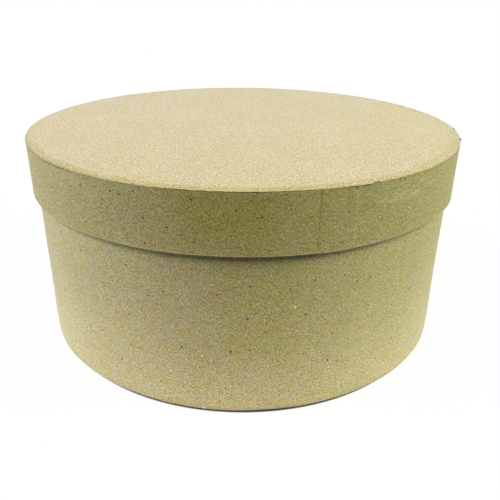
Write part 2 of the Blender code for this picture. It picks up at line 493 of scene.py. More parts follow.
def round_sheet(
    section: Section,
    angles: Array,
    face: Face,
    thickness: float,
    stand_off: Array,
    slide: Array,
    marks: dict[str, Array],
) -> Surface:
    """A disc of paper turned about the box's axis, closed at both poles and round its cut edge.

    The chain of rings runs from the pole of one face over the edge to the pole of the other. Each pole is
    one vertex with a fan of triangles.

    Args:
        section: its middle line, outward from the axis where it faces up and inward where it faces down.
        angles: the angles of one full turn, the last one left out.
        face: which way the section's front looks.
        thickness: the paper's thickness.
        stand_off: how far the sheet stands off its section, at each angle and point.
        slide: how far it slides along its section, at each angle and point.
        marks: values at each angle and point, by name.

    Returns:
        The disc's surface.
    """
    front, back = both_faces(section, thickness, stand_off, slide)
    front_order, back_order = np.arange(front.shape[1]), section.hidden[::-1]
    parts = [(front, front_order, 0.5), (back[:, ::-1], back_order, -0.5)]
    if face is Face.DOWN:
        parts.reverse()
    chain = np.concatenate([part for part, _, _ in parts], axis=1)
    order = np.concatenate([points for _, points, _ in parts])
    side = np.concatenate([np.full(len(points), sign * thickness) for _, points, sign in parts])
    space = swept(chain, angles)
    rows, columns = chain.shape[:2]
    index = 1 + np.arange(rows * (columns - 2)).reshape(columns - 2, rows)
    after = np.roll(index, -1, axis=1)
    last = rows * (columns - 2) + 1
    first_fan = np.stack((np.zeros(rows, int), index[0], after[0]), axis=-1)
    last_fan = np.stack((index[-1], np.full(rows, last), after[-1]), axis=-1)
    depth = np.broadcast_to(side[None, :, None], (rows, columns, 1))
    place = np.concatenate((space[..., :2], depth), axis=-1)

    def ringed(values: Array) -> Array:
        """The values in the vertices' order: a pole, the rings, the other pole."""
        rings = np.swapaxes(values[:, 1:-1], 0, 1).reshape(-1, *values.shape[2:])
        return np.concatenate((values[:1, 0], rings, values[:1, -1]))

    values = {PLACE: ringed(place)} | {name: ringed(mark[:, order]) for name, mark in marks.items()}
    faces = first_fan.tolist() + ring_quads(index) + last_fan.tolist()
    return Surface(ringed(space), faces, values)


def into_scene(name: str, data: bpy.types.ID) -> bpy.types.Object:
    """Puts data into the scene.

    Args:
        name: the new object's name.
        data: the mesh, lamp or camera that it shows.

    Returns:
        The object.
    """
    thing = bpy.data.objects.new(name, data)
    bpy.context.scene.collection.objects.link(thing)
    return thing


def standing(axes: Sequence[Array], place: Point) -> Matrix:
    """The transform that takes X, Y and Z to three axes and the origin to a place."""
    columns = np.column_stack((*axes, place))
    return Matrix(np.vstack((columns, (0.0, 0.0, 0.0, 1.0))).tolist())


def make_piece(name: str, surface: Surface, sharp: float = STRIP_SHARP) -> bpy.types.Object:
    """Puts a surface into a mesh object at the origin.

    Args:
        name: the piece's name.
        surface: its vertices, faces and marks.
        sharp: the angle past which an edge shows as sharp, in degrees.

    Returns:
        The object, in the scene.
    """
    mesh = bpy.data.meshes.new(name)
    mesh.from_pydata(surface.vertices.tolist(), [], surface.faces)
    for mark, values in surface.marks.items():
        vector = values.ndim == 2
        layer = mesh.attributes.new(mark, "FLOAT_VECTOR" if vector else "FLOAT", "POINT")
        layer.data.foreach_set("vector" if vector else "value", values.astype(np.float32).ravel())
    mesh.shade_smooth()
    mesh.set_sharp_from_angle(angle=math.radians(sharp))
    return into_scene(name, mesh)


class Recipe:
    """Lays out the nodes of one material, or of the world."""

    def __init__(self, owner: bpy.types.Material | bpy.types.World) -> None:
        """Empties the owner's nodes.

        Args:
            owner: the material or the world.
        """
        owner.use_nodes = True
        self.owner = owner
        self.tree = owner.node_tree
        self.tree.nodes.clear()

    @classmethod
    def of_material(cls, name: str) -> "Recipe":
        """The recipe of a new material of that name."""
        return cls(bpy.data.materials.new(name))

    def add(self, kind: str, settings: dict[str, object] | None = None, **inputs: object) -> bpy.types.Node:
        """Adds a node, sets its properties, and sets or links its inputs.

        Args:
            kind: the node's type.
            settings: properties of the node itself.
            **inputs: input sockets, by name with _ for a space; a socket is linked, anything else is set.

        Returns:
            The node.
        """
        node = self.tree.nodes.new(kind)
        for name, value in (settings or {}).items():
            setattr(node, name, value)
        for name, value in inputs.items():
            self.feed(node.inputs[name.replace("_", " ")], value)
        return node

    def feed(self, socket: Socket, value: object) -> None:
        """Links a socket to another, or sets its value.

        Args:
            socket: the input.
            value: a socket, or the value to set.
        """
        if isinstance(value, Socket):
            self.tree.links.new(value, socket)
        else:
            socket.default_value = value

    def calc(self, operation: str, *values: object) -> Socket:
        """One step of arithmetic.

        Args:
            operation: the Math node's operation.
            *values: numbers or sockets.

        Returns:
            The result's socket.
        """
        node = self.add("ShaderNodeMath", {"operation": operation})
        for socket, value in zip(node.inputs, values):
            self.feed(socket, value)
        return node.outputs[0]

    def noise(self, place: Socket, scale: float, detail: float, rough: float) -> Socket:
        """Blender's noise at that many waves to the metre, around 0.5."""
        node = self.add("ShaderNodeTexNoise", Vector=place, Scale=scale, Detail=detail, Roughness=rough)
        return node.outputs[0]

    def stretched(self, place: Socket, scale: Point, turn: float = 0.0) -> Socket:
        """The place turned about its third axis and then scaled along each axis.

        Args:
            place: the place's socket.
            scale: the scales.
            turn: the turn in radians.

        Returns:
            The new place's socket.
        """
        for change in ({"Rotation": (0.0, 0.0, turn)}, {"Scale": scale}):
            place = self.add("ShaderNodeMapping", {"vector_type": "POINT"}, Vector=place, **change).outputs[0]
        return place

    def vector(self, operation: str, first: object, second: object) -> bpy.types.Node:
        """A node of vector arithmetic on two colours or places.

        Args:
            operation: the node's operation.
            first: a value or a socket.
            second: a value or a socket.

        Returns:
            The node.
        """
        node = self.add("ShaderNodeVectorMath", {"operation": operation})
        self.feed(node.inputs[0], first)
        self.feed(node.inputs[1], second)
        return node

    def two_shaders(
        self, kind: str, first: bpy.types.Node, second: bpy.types.Node, **inputs: object
    ) -> bpy.types.Node:
        """A node that adds or mixes two shaders, which go into its last two inputs.

        Args:
            kind: the node's type.
            first: a shader's node.
            second: the other's.
            **inputs: the other inputs, by name.

        Returns:
            The node.
        """
        node = self.add(kind, None, **inputs)
        for socket, shader in zip(node.inputs[-2:], (first, second)):
            self.feed(socket, shader.outputs[0])
        return node

    def ramp(self, value: object, low: float, high: float, start: float = 0.0, end: float = 1.0) -> Socket:
        """The value eased from one range to another, kept within it.

        Args:
            value: a number or a socket.
            low: where the first range starts.
            high: where it ends.
            start: where the second range starts.
            end: where it ends.

        Returns:
            The result's socket.
        """
        node = self.add("ShaderNodeMapRange", {"interpolation_type": "SMOOTHSTEP"}, Value=value)
        for name, number in (("From Min", low), ("From Max", high), ("To Min", start), ("To Max", end)):
            node.inputs[name].default_value = number
        return node.outputs[0]

    def blend(self, share: object, first: object, second: object) -> Socket:
        """Two colours mixed by a share.

        Args:
            share: how much of the second.
            first: a colour or a socket.
            second: a colour or a socket.

        Returns:
            The mixed colour's socket.
        """
        node = self.add("ShaderNodeMix", {"data_type": "RGBA", "blend_type": "MIX"})
        sockets = [s for s in node.inputs if s.enabled]
        for socket, value in zip(sockets, (share, first, second)):
            self.feed(socket, (*value, 1.0) if isinstance(value, tuple) else value)
        return next(s for s in node.outputs if s.enabled)


class Tone(Enum):
    """What a fleck is: a bit of bark or a bit of bleached pulp."""

    DARK = "dark"
    PALE = "pale"


@dataclass(frozen=True)
class Fleck:
    """One large speck in the paper of a wall.

    Attributes:
        angle: where it sits round the box.
        height: its height.
        size: its radius.
        strength: how strongly it covers.
    """

    angle: float
    height: float
    size: float
    strength: float

    def centre(self, radius: float) -> Point:
        """Its place on a wall of that radius."""
        turn = math.radians(self.angle)
        return (radius * math.cos(turn), radius * math.sin(turn), self.height)


def flecks(*rows: tuple[float, float, float, float]) -> tuple[Fleck, ...]:
    """Flecks from their angle, height in mm, radius in mm and strength."""
    return tuple(Fleck(angle, height * MM, size * MM, strength) for angle, height, size, strength in rows)


@dataclass(frozen=True)
class Dots:
    """Small round specks of one kind, one in some of the cells of a Voronoi pattern.

    Attributes:
        cells: cells to the metre.
        radius: the speck's radius in cells.
        rarity: the share of the cells without a speck.
        strength: how strongly it covers.
        shade: how much of the paper's colour it keeps.
        white: how much white is added to that.
    """

    cells: float
    radius: float
    rarity: float
    strength: float
    shade: float
    white: float = 0.0


@dataclass(frozen=True)
class KraftPaper:
    """Plain brown wrapping paper: matt, cloudy, full of short fibres, with dark and pale specks.

    Attributes:
        name: the material's name.
        colour: the paper's own colour, linear.
        rubbed: the colour where it is rubbed by wear or handling; on the top's shoulder it also stands for
            painted shade.
        grime_and_shade_colour: the colour of glue and soiling, and of painted shade.
        front_shade_tint: what the painted shade at the front leaves of each channel of the colour.
        cloud: how much the tone varies over millimetres.
        broad: how much it varies over centimetres.
        grain: how much it varies from fibre to fibre.
        fibre: the fibres' waves to the metre, along and across the sheet.
        strand: the strands' waves to the metre.
        clouds: the waves to the metre of the small and the broad clouds.
        hue_clouds: the same of the blue and the red drift.
        hair_waves: the same of the hairs' lines, and of the patches that have them.
        specks: how strongly the specks show.
        swing: how much more each channel varies from fibre to fibre than the others.
        hues: how far the hue wanders, towards red and towards blue.
        relief: how rough its surface is.
        relief_height: the height that its relief stands for.
        roughness: the gloss's roughness in dark and in light fibres.
        gloss: the gloss's level.
        sheen: the weight of the paper's nap.
        wall: the radius of the wall that the flecks sit on.
        flecks: the large specks, by tone.
        dots: the small ones: bark, darker fibre ends and bleached pulp.
    """

    name: str
    colour: Colour
    rubbed: Colour = (0.62, 0.56, 0.33)
    grime_and_shade_colour: Colour = (0.036, 0.036, 0.006)
    front_shade_tint: Colour = (0.90, 0.91, 0.60)
    cloud: float = 0.32
    broad: float = 0.16
    grain: float = 1.8
    fibre: tuple[float, float] = (2300.0, 1250.0)
    strand: float = 1100.0
    clouds: tuple[float, float] = (260.0, 34.0)
    hue_clouds: tuple[float, float] = (150.0, 210.0)
    hair_waves: tuple[float, float] = (380.0, 430.0)
    specks: float = 1.0
    swing: Colour = (0.98, 1.0, 1.06)
    hues: tuple[float, float] = (0.032, 0.15)
    relief: float = 0.13
    relief_height: float = 0.18 * MM
    roughness: tuple[float, float] = (0.74, 0.9)
    gloss: float = 0.22
    sheen: float = 0.15
    wall: float = 0.1
    flecks: dict[Tone, tuple[Fleck, ...]] = field(default_factory=dict)
    dots: tuple[Dots, ...] = (
        Dots(330.0, 0.12, 0.80, 0.95, 0.12),
        Dots(520.0, 0.15, 0.88, 0.7, 0.42),
        Dots(290.0, 0.10, 0.92, 0.8, 1.4, 0.25),
    )

    def material(self) -> bpy.types.Material:
        """Lays out the paper's nodes.

        The colour is the paper's own with its hue drifting, times the front-shade tint where the front has
        painted shade, and mixed with the rubbed colour where it is rubbed, which on the top's shoulder also
        stands for painted shade. To that comes the swing times the sum of the fibres, the strands and the
        clouds. Dots, hairs, flecks, and soiling with painted shade are laid over it in turn.

        Returns:
            The material.
        """
        mix = Recipe.of_material(self.name)
        place = mix.add("ShaderNodeAttribute", {"attribute_name": PLACE}).outputs["Vector"]
        rubbed, grime_and_shade, front_shade = (
            mix.add("ShaderNodeAttribute", {"attribute_name": mark}).outputs["Fac"]
            for mark in (WEAR_AND_SHADE, GRIME_AND_SHADE, FRONT_SHADE)
        )
        fibres = mix.noise(mix.stretched(place, (*self.fibre, 1500.0), 0.1), 1.0, 1.0, 0.5)
        strands = mix.noise(mix.stretched(place, (0.5, 1.0, 1.0), -0.6), self.strand, 2.0, 0.6)
        cloudy = mix.noise(place, self.clouds[0], 3.0, 0.6)
        broad = mix.noise(place, self.clouds[1], 2.0, 0.5)

        layers = (
            (fibres, self.grain),
            (strands, 0.25 * self.grain),
            (cloudy, self.cloud),
            (broad, self.broad),
        )
        uneven = self._uneven(mix, layers)
        bluer = mix.ramp(mix.noise(place, self.hue_clouds[0], 2.0, 0.6), 0.30, 0.70)
        turned = mix.stretched(place, (1.0, 1.0, 1.0), 0.9)
        redder = mix.ramp(mix.noise(turned, self.hue_clouds[1], 1.0, 0.5), 0.32, 0.68)
        plain = mix.blend(bluer, self._tinted(-1.0, -1.0), self._tinted(-1.0, 1.0))
        plain = mix.blend(redder, plain, mix.blend(bluer, self._tinted(1.0, -1.0), self._tinted(1.0, 1.0)))
        # Painted shade at the front: the colour is darkened and yellowed by the tint there.
        front_shaded = mix.vector("MULTIPLY", plain, mix.blend(front_shade, (1.0, 1.0, 1.0), self.front_shade_tint))
        # Wear, and on the top's shoulder painted shade, mixes in the rubbed colour.
        worn_and_shaded = mix.calc("MULTIPLY", rubbed, mix.ramp(strands, 0.30, 0.62, 0.5, 1.0))
        varied = mix.vector("MULTIPLY_ADD", self._swing(), uneven)
        mix.feed(varied.inputs[2], mix.blend(worn_and_shaded, front_shaded.outputs[0], self.rubbed))
        colour = mix.vector("MAXIMUM", varied.outputs[0], self._dim(0.2)).outputs[0]

        for dots in self.dots:
            colour = mix.blend(self._dots(mix, place, dots), colour, self._dim(dots.shade, dots.white))
        colour = mix.blend(self._hairs(mix, place), colour, self._dim(0.62))
        if self.flecks:
            colour = mix.blend(self._flecks(mix, Tone.DARK), colour, self._dim(0.06))
            colour = mix.blend(self._flecks(mix, Tone.PALE), colour, self._dim(1.2, 0.42))

        # Painted shade and soiling: this mark darkens the paper towards the dark colour of glue, soiling and
        # shade.
        dirt_and_shade = mix.calc("MULTIPLY", grime_and_shade, mix.ramp(strands, 0.30, 0.60, 0.75, 1.0))
        colour = mix.blend(dirt_and_shade, colour, self.grime_and_shade_colour)

        rise = mix.calc("ADD", mix.calc("MULTIPLY", fibres, 0.6), mix.calc("MULTIPLY", cloudy, 0.9))
        bump = mix.add("ShaderNodeBump", Height=rise, Strength=self.relief, Distance=self.relief_height)
        shader = mix.add("ShaderNodeBsdfPrincipled", Base_Color=colour, Normal=bump.outputs[0])
        mix.feed(shader.inputs["Roughness"], mix.ramp(fibres, 0.3, 0.7, *self.roughness))
        shader.inputs["IOR"].default_value = 1.45
        shader.inputs["Specular IOR Level"].default_value = self.gloss
        shader.inputs["Sheen Weight"].default_value = self.sheen
        shader.inputs["Sheen Roughness"].default_value = 0.5
        mix.add("ShaderNodeOutputMaterial", Surface=shader.outputs[0])
        return mix.owner

    def _dim(self, share: float, white: float = 0.0) -> Colour:
        """The paper's colour times a share, plus some white."""
        return tuple(min(1.0, c * share + white) for c in self.colour)

    def _swing(self) -> Colour:
        """The colour that light and dark fibres differ by, greyer than the paper."""
        return tuple((c + 0.5 * self.colour[0]) / 1.5 * s for c, s in zip(self.colour, self.swing))

    def _tinted(self, red: float, blue: float) -> Colour:
        """The paper's colour, redder and less green by one share, and bluer by another."""
        factors = (1.0 + self.hues[0] * red, 1.0 - 0.7 * self.hues[0] * red, 1.0 + self.hues[1] * blue)
        return tuple(c * s for c, s in zip(self.colour, factors))

    @staticmethod
    def _uneven(mix: Recipe, layers: Sequence[tuple[Socket, float]]) -> Socket:
        """The sum of each layer's distance from 0.5 times its weight.

        Args:
            mix: the material's recipe.
            layers: each layer's socket and weight.

        Returns:
            The sum's socket.
        """
        uneven: object = -0.5 * sum(weight for _, weight in layers)
        for layer, weight in layers:
            uneven = mix.calc("MULTIPLY_ADD", layer, weight, uneven)
        return uneven

    def _dots(self, mix: Recipe, place: Socket, dots: Dots) -> Socket:
        """Where one kind of specks covers: in each cell whose random number passes the rarity.

        Args:
            mix: the material's recipe.
            place: the place's socket.
            dots: the kind.

        Returns:
            The cover's socket.
        """
        cells = mix.add("ShaderNodeTexVoronoi", Vector=place, Scale=dots.cells)
        chosen = mix.add("ShaderNodeSeparateColor", Color=cells.outputs["Color"])
        full, gone = 0.6 * dots.radius, 1.5 * dots.radius
        near = mix.ramp(cells.outputs["Distance"], full, gone, dots.strength * self.specks, 0.0)
        return mix.calc("MULTIPLY", near, mix.calc("GREATER_THAN", chosen.outputs[0], dots.rarity))

    def _flecks(self, mix: Recipe, tone: Tone) -> object:
        """The large specks of one tone: full at the centre, gone by 1.6 of the radius.

        Args:
            mix: the material's recipe.
            tone: which of them.

        Returns:
            The cover's socket.
        """
        place = mix.add("ShaderNodeTexCoord").outputs["Object"]
        cover: object = 0.0
        for fleck in self.flecks[tone]:
            away = mix.vector("DISTANCE", place, fleck.centre(self.wall))
            near = mix.ramp(away.outputs["Value"], 0.7 * fleck.size, 1.6 * fleck.size, fleck.strength, 0.0)
            cover = mix.calc("MAXIMUM", near, cover)
        return cover

    def _hairs(self, mix: Recipe, place: Socket) -> Socket:
        """Short dark fibres: the thin lines where a noise passes 0.5, kept only where another is high.

        Args:
            mix: the material's recipe.
            place: the place's socket.

        Returns:
            The cover's socket.
        """
        lines, patches = self.hair_waves
        line = mix.calc("ABSOLUTE", mix.calc("SUBTRACT", mix.noise(place, lines, 1.0, 0.4), 0.5))
        thin = mix.ramp(line, 0.004, 0.016, 0.5 * self.specks, 0.0)
        return mix.calc("MULTIPLY", thin, mix.ramp(mix.noise(place, patches, 0.0, 0.0), 0.56, 0.66))


RIM_FLECKS = {
    Tone.DARK: flecks(
        (-117.6, 91.5, 0.32, 1.0),
        (-87.3, 95.0, 0.30, 0.8),
        (-56.0, 94.5, 0.35, 0.7),
        (-54.5, 94.1, 0.35, 0.75),
        (-53.0, 94.7, 0.30, 0.6),
        (-52.2, 93.6, 0.30, 0.6),
        (-51.6, 91.6, 0.32, 0.7),
        (-52.4, 90.3, 0.35, 0.75),
        (-50.2, 89.1, 0.30, 0.6),
        (-48.9, 89.0, 0.28, 0.5),
        (-150.9, 73.6, 0.60, 1.0),
    ),
    Tone.PALE: flecks(
        (-116.1, 75.9, 0.30, 0.8),
        (-81.3, 89.5, 0.25, 0.7),
        (-95.9, 86.7, 0.25, 0.6),
        (-59.7, 85.5, 0.28, 0.7),
    ),
}
WALL_FLECKS = {
    Tone.DARK: flecks(
        (-69.9, 21.5, 0.40, 1.0),
        (-103.8, 29.9, 0.32, 1.0),
        (-92.7, 29.5, 0.34, 1.0),
        (-89.0, 44.6, 0.34, 1.0),
        (-120.2, 16.4, 0.32, 0.9),
        (-66.0, 19.1, 0.28, 0.8),
        (-84.8, 42.1, 0.30, 0.9),
        (-65.1, 38.4, 0.28, 0.85),
        (-87.2, 47.1, 0.30, 0.9),
    ),
    Tone.PALE: flecks(
        (-78.7, 48.7, 0.38, 1.0),
        (-96.6, 58.7, 0.28, 0.8),
        (-95.2, 43.0, 0.28, 0.8),
        (-99.2, 26.8, 0.30, 0.9),
        (-89.8, 51.5, 0.25, 0.7),
        (-85.3, 43.9, 0.25, 0.7),
        (-84.0, 62.5, 0.28, 0.7),
        (-99.2, 0.9, 0.55, 1.0),
    ),
}


@dataclass(frozen=True)
class WoundBoard:
    """Grey-brown board wound or pressed from pulp, with fine layers along its height.

    Attributes:
        name: the material's name.
        colour: the board's colour, linear.
        dark: the colour of its darker layers.
    """

    name: str = "wound_board_plain"
    colour: Colour = (0.36, 0.30, 0.20)
    dark: Colour = (0.20, 0.16, 0.09)

    def material(self) -> bpy.types.Material:
        """Lays out the board's nodes on Object coordinates.

        Returns:
            The material.
        """
        mix = Recipe.of_material(self.name)
        place = mix.add("ShaderNodeTexCoord").outputs["Object"]
        layers = mix.noise(mix.stretched(place, (0.08, 0.08, 1.0)), 1600.0, 2.0, 0.6)
        pulp = mix.noise(place, 700.0, 4.0, 0.7)
        colour = mix.blend(mix.ramp(layers, 0.35, 0.65), self.dark, self.colour)
        colour = mix.blend(mix.ramp(pulp, 0.55, 0.75, 0.0, 0.5), colour, self.dark)
        bump = mix.add("ShaderNodeBump", Height=pulp, Strength=0.4, Distance=0.0002)
        shader = mix.add("ShaderNodeBsdfPrincipled", Base_Color=colour, Normal=bump.outputs[0])
        mix.feed(shader.inputs["Roughness"], mix.ramp(pulp, 0.3, 0.7, 0.8, 0.95))
        shader.inputs["Specular IOR Level"].default_value = 0.25
        mix.add("ShaderNodeOutputMaterial", Surface=shader.outputs[0])
        return mix.owner


@dataclass(frozen=True)
class Finishes:
    """Every finish on the box, made once."""

    top: bpy.types.Material
    rim: bpy.types.Material
    wrap: bpy.types.Material
    lining: bpy.types.Material
    base: bpy.types.Material
    torn: bpy.types.Material
    board: bpy.types.Material

    @classmethod
    def make(cls) -> "Finishes":
        """Makes the materials.

        Returns:
            The finishes.
        """
        return cls(
            # Painted light: a paler copy of the wrap's paper, lighter because the top is lit from above and
            # behind.
            top=KraftPaper(
                "kraft_paper_top_lit",
                (0.69, 0.58, 0.335),
                # On the top this colour is the shoulder band's painted shade, darker and yellower, as well as
                # its handling.
                rubbed=(0.53, 0.457, 0.156),
                grain=1.35,
                cloud=0.24,
                swing=(0.87, 1.04, 1.32),
                hues=(0.015, 0.115),
                relief=0.07,
                fibre=(1250.0, 1250.0),
                specks=0.6,
            ).material(),
            # Painted shade: a darker copy of the wrap's paper, for the rim that lies in more shade.
            rim=KraftPaper(
                "kraft_paper_rim_shaded",
                (0.428, 0.379, 0.138),
                grain=1.95,
                wall=101.45 * MM,
                flecks=RIM_FLECKS,
            ).material(),
            wrap=KraftPaper(
                "kraft_paper_wrap",
                (0.477, 0.421, 0.171),
                wall=99.1 * MM,
                flecks=WALL_FLECKS,
            ).material(),
            lining=KraftPaper("kraft_paper_lining", (0.48, 0.42, 0.18), specks=0.7).material(),
            base=KraftPaper(
                "kraft_paper_base",
                (0.47, 0.41, 0.17),
                fibre=(1500.0, 1500.0),
                specks=0.8,
            ).material(),
            # Painted shade: near-black paper, without sheen, for slivers that lie in shadow.
            torn=KraftPaper("kraft_paper_torn_shaded", (0.09, 0.08, 0.035), specks=0.0, sheen=0.0).material(),
            board=WoundBoard().material(),
        )


def lay(
    piece: bpy.types.Object, finish: bpy.types.Material, body: Body, slot: Slot, *nodes: str
) -> bpy.types.Object:
    """Dresses a piece, ties it to its body and lets it stand for its CAD nodes.

    Args:
        piece: the new piece.
        finish: its material.
        body: the body that it rides on.
        slot: the record's slot; not used.
        *nodes: the CAD nodes that it stands for.

    Returns:
        The piece.
    """
    piece.data.materials.append(finish)
    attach(piece, body.value)
    if nodes:
        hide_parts(*nodes)
    LOG.info("%s: %d faces, rides on %s, for %s", piece.name, len(piece.data.polygons), body.value, nodes)
    return piece


@dataclass(frozen=True)
class Lap:
    """The overlap of a strip's two ends.

    Attributes:
        angle: where the outer end is cut.
        length: how far the ends overlap.
        gap: the glue and air between them.
        curl: how far the cut end lifts, or is pressed in where it is less than none.
        ease: the length over which the outer end comes down past the inner one.
    """

    angle: float
    length: float = 13.0 * MM
    gap: float = 0.03 * MM
    curl: float = 0.10 * MM
    ease: float = 2.0 * MM

    def span(self, radius: float) -> float:
        """The angle from one cut end to the other, a full turn and the overlap."""
        return FULL_TURN + math.degrees(self.length / radius)

    def arc(self, angles: Array, radius: float) -> Array:
        """The length along the strip from its outer end."""
        return np.radians(angles - self.angle) * radius

    def rise(self, angles: Array, radius: float, thickness: float) -> Array:
        """How far the strip stands off, at each angle.

        Over the inner end it stands off by a thickness and the gap, then eases down. The curl is added
        by exp(−arc / 1.2 mm) from the cut.

        Args:
            angles: the angles of the strip.
            radius: the strip's radius.
            thickness: the paper's thickness.

        Returns:
            The stand-off, one value for each angle.
        """
        arc = self.arc(angles, radius)
        down = smooth((arc - self.length - 0.3 * MM) / self.ease)
        return (thickness + self.gap) * (1.0 - down) + self.curl * np.exp(-arc / (1.2 * MM))


@dataclass(frozen=True)
class Sliver:
    """A torn sliver of paper at a cut edge.

    Attributes:
        angle: where its middle is.
        length: how far it goes along the edge, in degrees.
        out: about how far it stands out, in mm.
        rise: how much higher than the usual one it lies, in mm.
        thick: its thickness, in mm.
    """

    angle: float
    length: float
    out: float
    rise: float
    thick: float


@dataclass(frozen=True)
class Lid:
    """The lid: a paper disc on top, a lapped strip round the rim, and a lining inside.

    Attributes:
        radius: the outside of the rim's paper.
        top: the height of the top.
        paper: the paper's thickness.
        low: the height of the rim's lower edge.
        bore: the inside of the turned-in paper.
        rim_top: the height where the rim's strip starts, below the top sheet.
        turn_in: how far up inside the strip goes.
        fold: the radius of its folds.
        shoulder_width: how far in from the edge the top sheet starts to lean down.
        shoulder_lean: the slope it comes to.
        shoulder_ease: over how much it does.
        edge_lean: how much steeper it is at the cut edge.
        edge_ease: over how much that comes.
        edge_zone: how far in from the cut edge its unevenness reaches.
        cut_wave: how far the cut edge wanders.
        cut_back: how far it is from the rim's outside on the whole.
        fray_wave: how far it wanders where it is frayed.
        liner_low: where the lining starts.
        liner_high: where it ends.
        ceiling_radius: the radius of the disc under the board.
        ceiling: the height of its lower face.
        sag_angle: where the rim's fold hangs lowest.
        sag_reach: how far round it does, in degrees.
        sag_depth: by how much.
        sag_height: how far up the strip follows.
        tear_angle: where the flap ends and the nick begins.
        flap: where the top sheet's edge lifts and stands out.
        flap_out: how far out.
        flap_lift: how far up.
        nick: where a bit of it is missing.
        nick_depth: how deep the nick is.
        frayed: where its edge is finely torn.
        trimmed: where it is cut back a little.
        trim_depth: how far back.
        pressed: where it is pressed down.
        handled_shade_width: how far in from the edge its shoulder carries handling and painted shade.
        handled_shade_ease: over how much that ends.
        handled_shade_wave: how far the end wanders.
        near_side: where its shoulder carries handling and painted shade.
        near_left: where most of all.
        far_side: where it does so at the back.
        shaded_right_edge: where its cut edge is soiled and carries painted shade.
        shaded_right_side: where less so.
        shaded_left_edge: where its shoulder carries painted shade.
        edge_soil_and_shade_width: how far in from the cut edge its soiling and painted shade reach.
        left_shade_width: how far in from there that painted shade reaches.
        speck: a dark speck on its shoulder.
        slot_wave: how uneven the slot under it is.
        slot_gapes: how much wider the slot is, in mm, and where.
        slot_less_dark: where the slot carries less soiling and painted shade.
        front_shade: where the rim's front carries painted shade, darker and yellower.
        scuffs: the rubbed places of the rim.
        torn: the slivers at the top sheet's edge.
        lap: the overlap of the rim's strip.
        liner_lap: the overlap of the lining.
        top_wave: half of how far the top sheet sinks at most.
        rim_wave: the same for the rim.
        rim_paces: the distance between points down the outside, across and up the inside of the rim.
        rim_top_zone: how far down from the slot the rim's paper slides with it.
        lip_wave: how uneven the inside of the rim's fold is.
        lip_reach: how far up that goes.
        fold_rubbed: the height of the rubbed stretch of the rim's fold.
        cut_soil_and_shade: the width of the soiling and painted shade along the cut of the rim's lap.
        slot_soil_and_shade: the height of the soiling and painted shade in the slot.
        torn_drop: how far below the top the slivers lie.
        torn_in: how far in from the rim's outside they start.
    """

    radius: float
    top: float
    paper: float
    low: float = 71.1 * MM
    bore: float = 99.85 * MM
    rim_top: float = 95.12 * MM
    turn_in: float = 12.0 * MM
    fold: float = 0.70 * MM
    shoulder_width: float = 4.4 * MM
    shoulder_lean: float = 0.075
    shoulder_ease: float = 1.4 * MM
    edge_lean: float = 0.35
    edge_ease: float = 0.6 * MM
    edge_zone: float = 2.2 * MM
    cut_wave: float = 0.11 * MM
    cut_back: float = 0.08 * MM
    fray_wave: float = 0.17 * MM
    liner_low: float = 83.7 * MM
    liner_high: float = 93.55 * MM
    ceiling_radius: float = 99.55 * MM
    ceiling: float = 93.4 * MM
    sag_angle: float = -12.0
    sag_reach: float = 17.0
    sag_depth: float = 2.3 * MM
    sag_height: float = 12.0 * MM
    tear_angle: float = -63.4
    flap: Span = Span(-67.0, -63.45, 0.5)
    flap_out: float = 0.30 * MM
    flap_lift: float = 0.16 * MM
    nick: Span = Span(-63.3, -61.6, 0.35)
    nick_depth: float = 0.45 * MM
    frayed: Span = Span(-63.0, -30.0, 6.0)
    trimmed: Span = Span(-106.0, -76.0, 9.0)
    trim_depth: float = 0.30 * MM
    pressed: Spot = Spot(-60.5, 0.0, 3.0, 1.0, -0.10 * MM)
    handled_shade_width: float = 3.2 * MM
    handled_shade_ease: float = 2.0 * MM
    handled_shade_wave: float = 0.9 * MM
    near_side: Span = Span(-170.0, -20.0, 30.0)
    near_left: Span = Span(-145.0, -72.0, 24.0)
    far_side: Span = Span(10.0, 170.0, 20.0)
    shaded_right_edge: Span = Span(-19.0, -2.0, 4.0)
    shaded_right_side: Span = Span(-45.0, 10.0, 9.0)
    shaded_left_edge: Span = Span(-165.0, -112.0, 16.0)
    edge_soil_and_shade_width: float = 0.35 * MM
    left_shade_width: float = 1.1 * MM
    speck: Spot = Spot(-68.42, 93.04 * MM, 0.28, 0.5 * MM, 0.9)
    slot_wave: float = 0.04 * MM
    slot_gapes: tuple[tuple[float, Span], ...] = (
        (0.22, Span(-70.5, -63.4, 1.4)),
        (0.18, Span(-140.0, -126.0, 5.0)),
    )
    slot_less_dark: Span = Span(-114.0, -72.0, 10.0)
    front_shade: Span = Span(-102.0, -84.0, 9.0)
    scuffs: tuple[Spot, ...] = (
        Spot(-54.0, 88.5 * MM, 5.0, 2.6 * MM, 0.38),
        Spot(-60.6, 87.9 * MM, 0.9, 0.6 * MM, 0.7),
        Spot(-57.4, 86.7 * MM, 1.6, 0.6 * MM, 0.65),
        Spot(-50.2, 87.4 * MM, 1.5, 0.6 * MM, 0.65),
        Spot(-48.4, 92.0 * MM, 1.0, 0.8 * MM, 0.55),
        Spot(-84.0, 95.0 * MM, 9.0, 0.35 * MM, 0.55),
    )
    torn: tuple[Sliver, ...] = (
        Sliver(-5.0, 2.60, 0.32, 0.10, 0.36),
        Sliver(-16.1, 1.30, 0.55, 0.00, 0.42),
        Sliver(-64.6, 0.60, 0.30, -0.10, 0.13),
        Sliver(-133.0, 0.50, 0.12, 0.05, 0.12),
        Sliver(38.0, 0.60, 0.20, 0.00, 0.14),
        Sliver(151.0, 0.80, 0.18, 0.05, 0.14),
    )
    lap: Lap = Lap(-74.85, gap=0.01 * MM, curl=-0.14 * MM)
    liner_lap: Lap = Lap(38.0, length=9.0 * MM, curl=0.05 * MM)
    top_wave: float = 0.05 * MM
    rim_wave: float = 0.07 * MM
    rim_paces: tuple[float, ...] = (0.55 * MM, 0.1 * MM, 1.6 * MM)
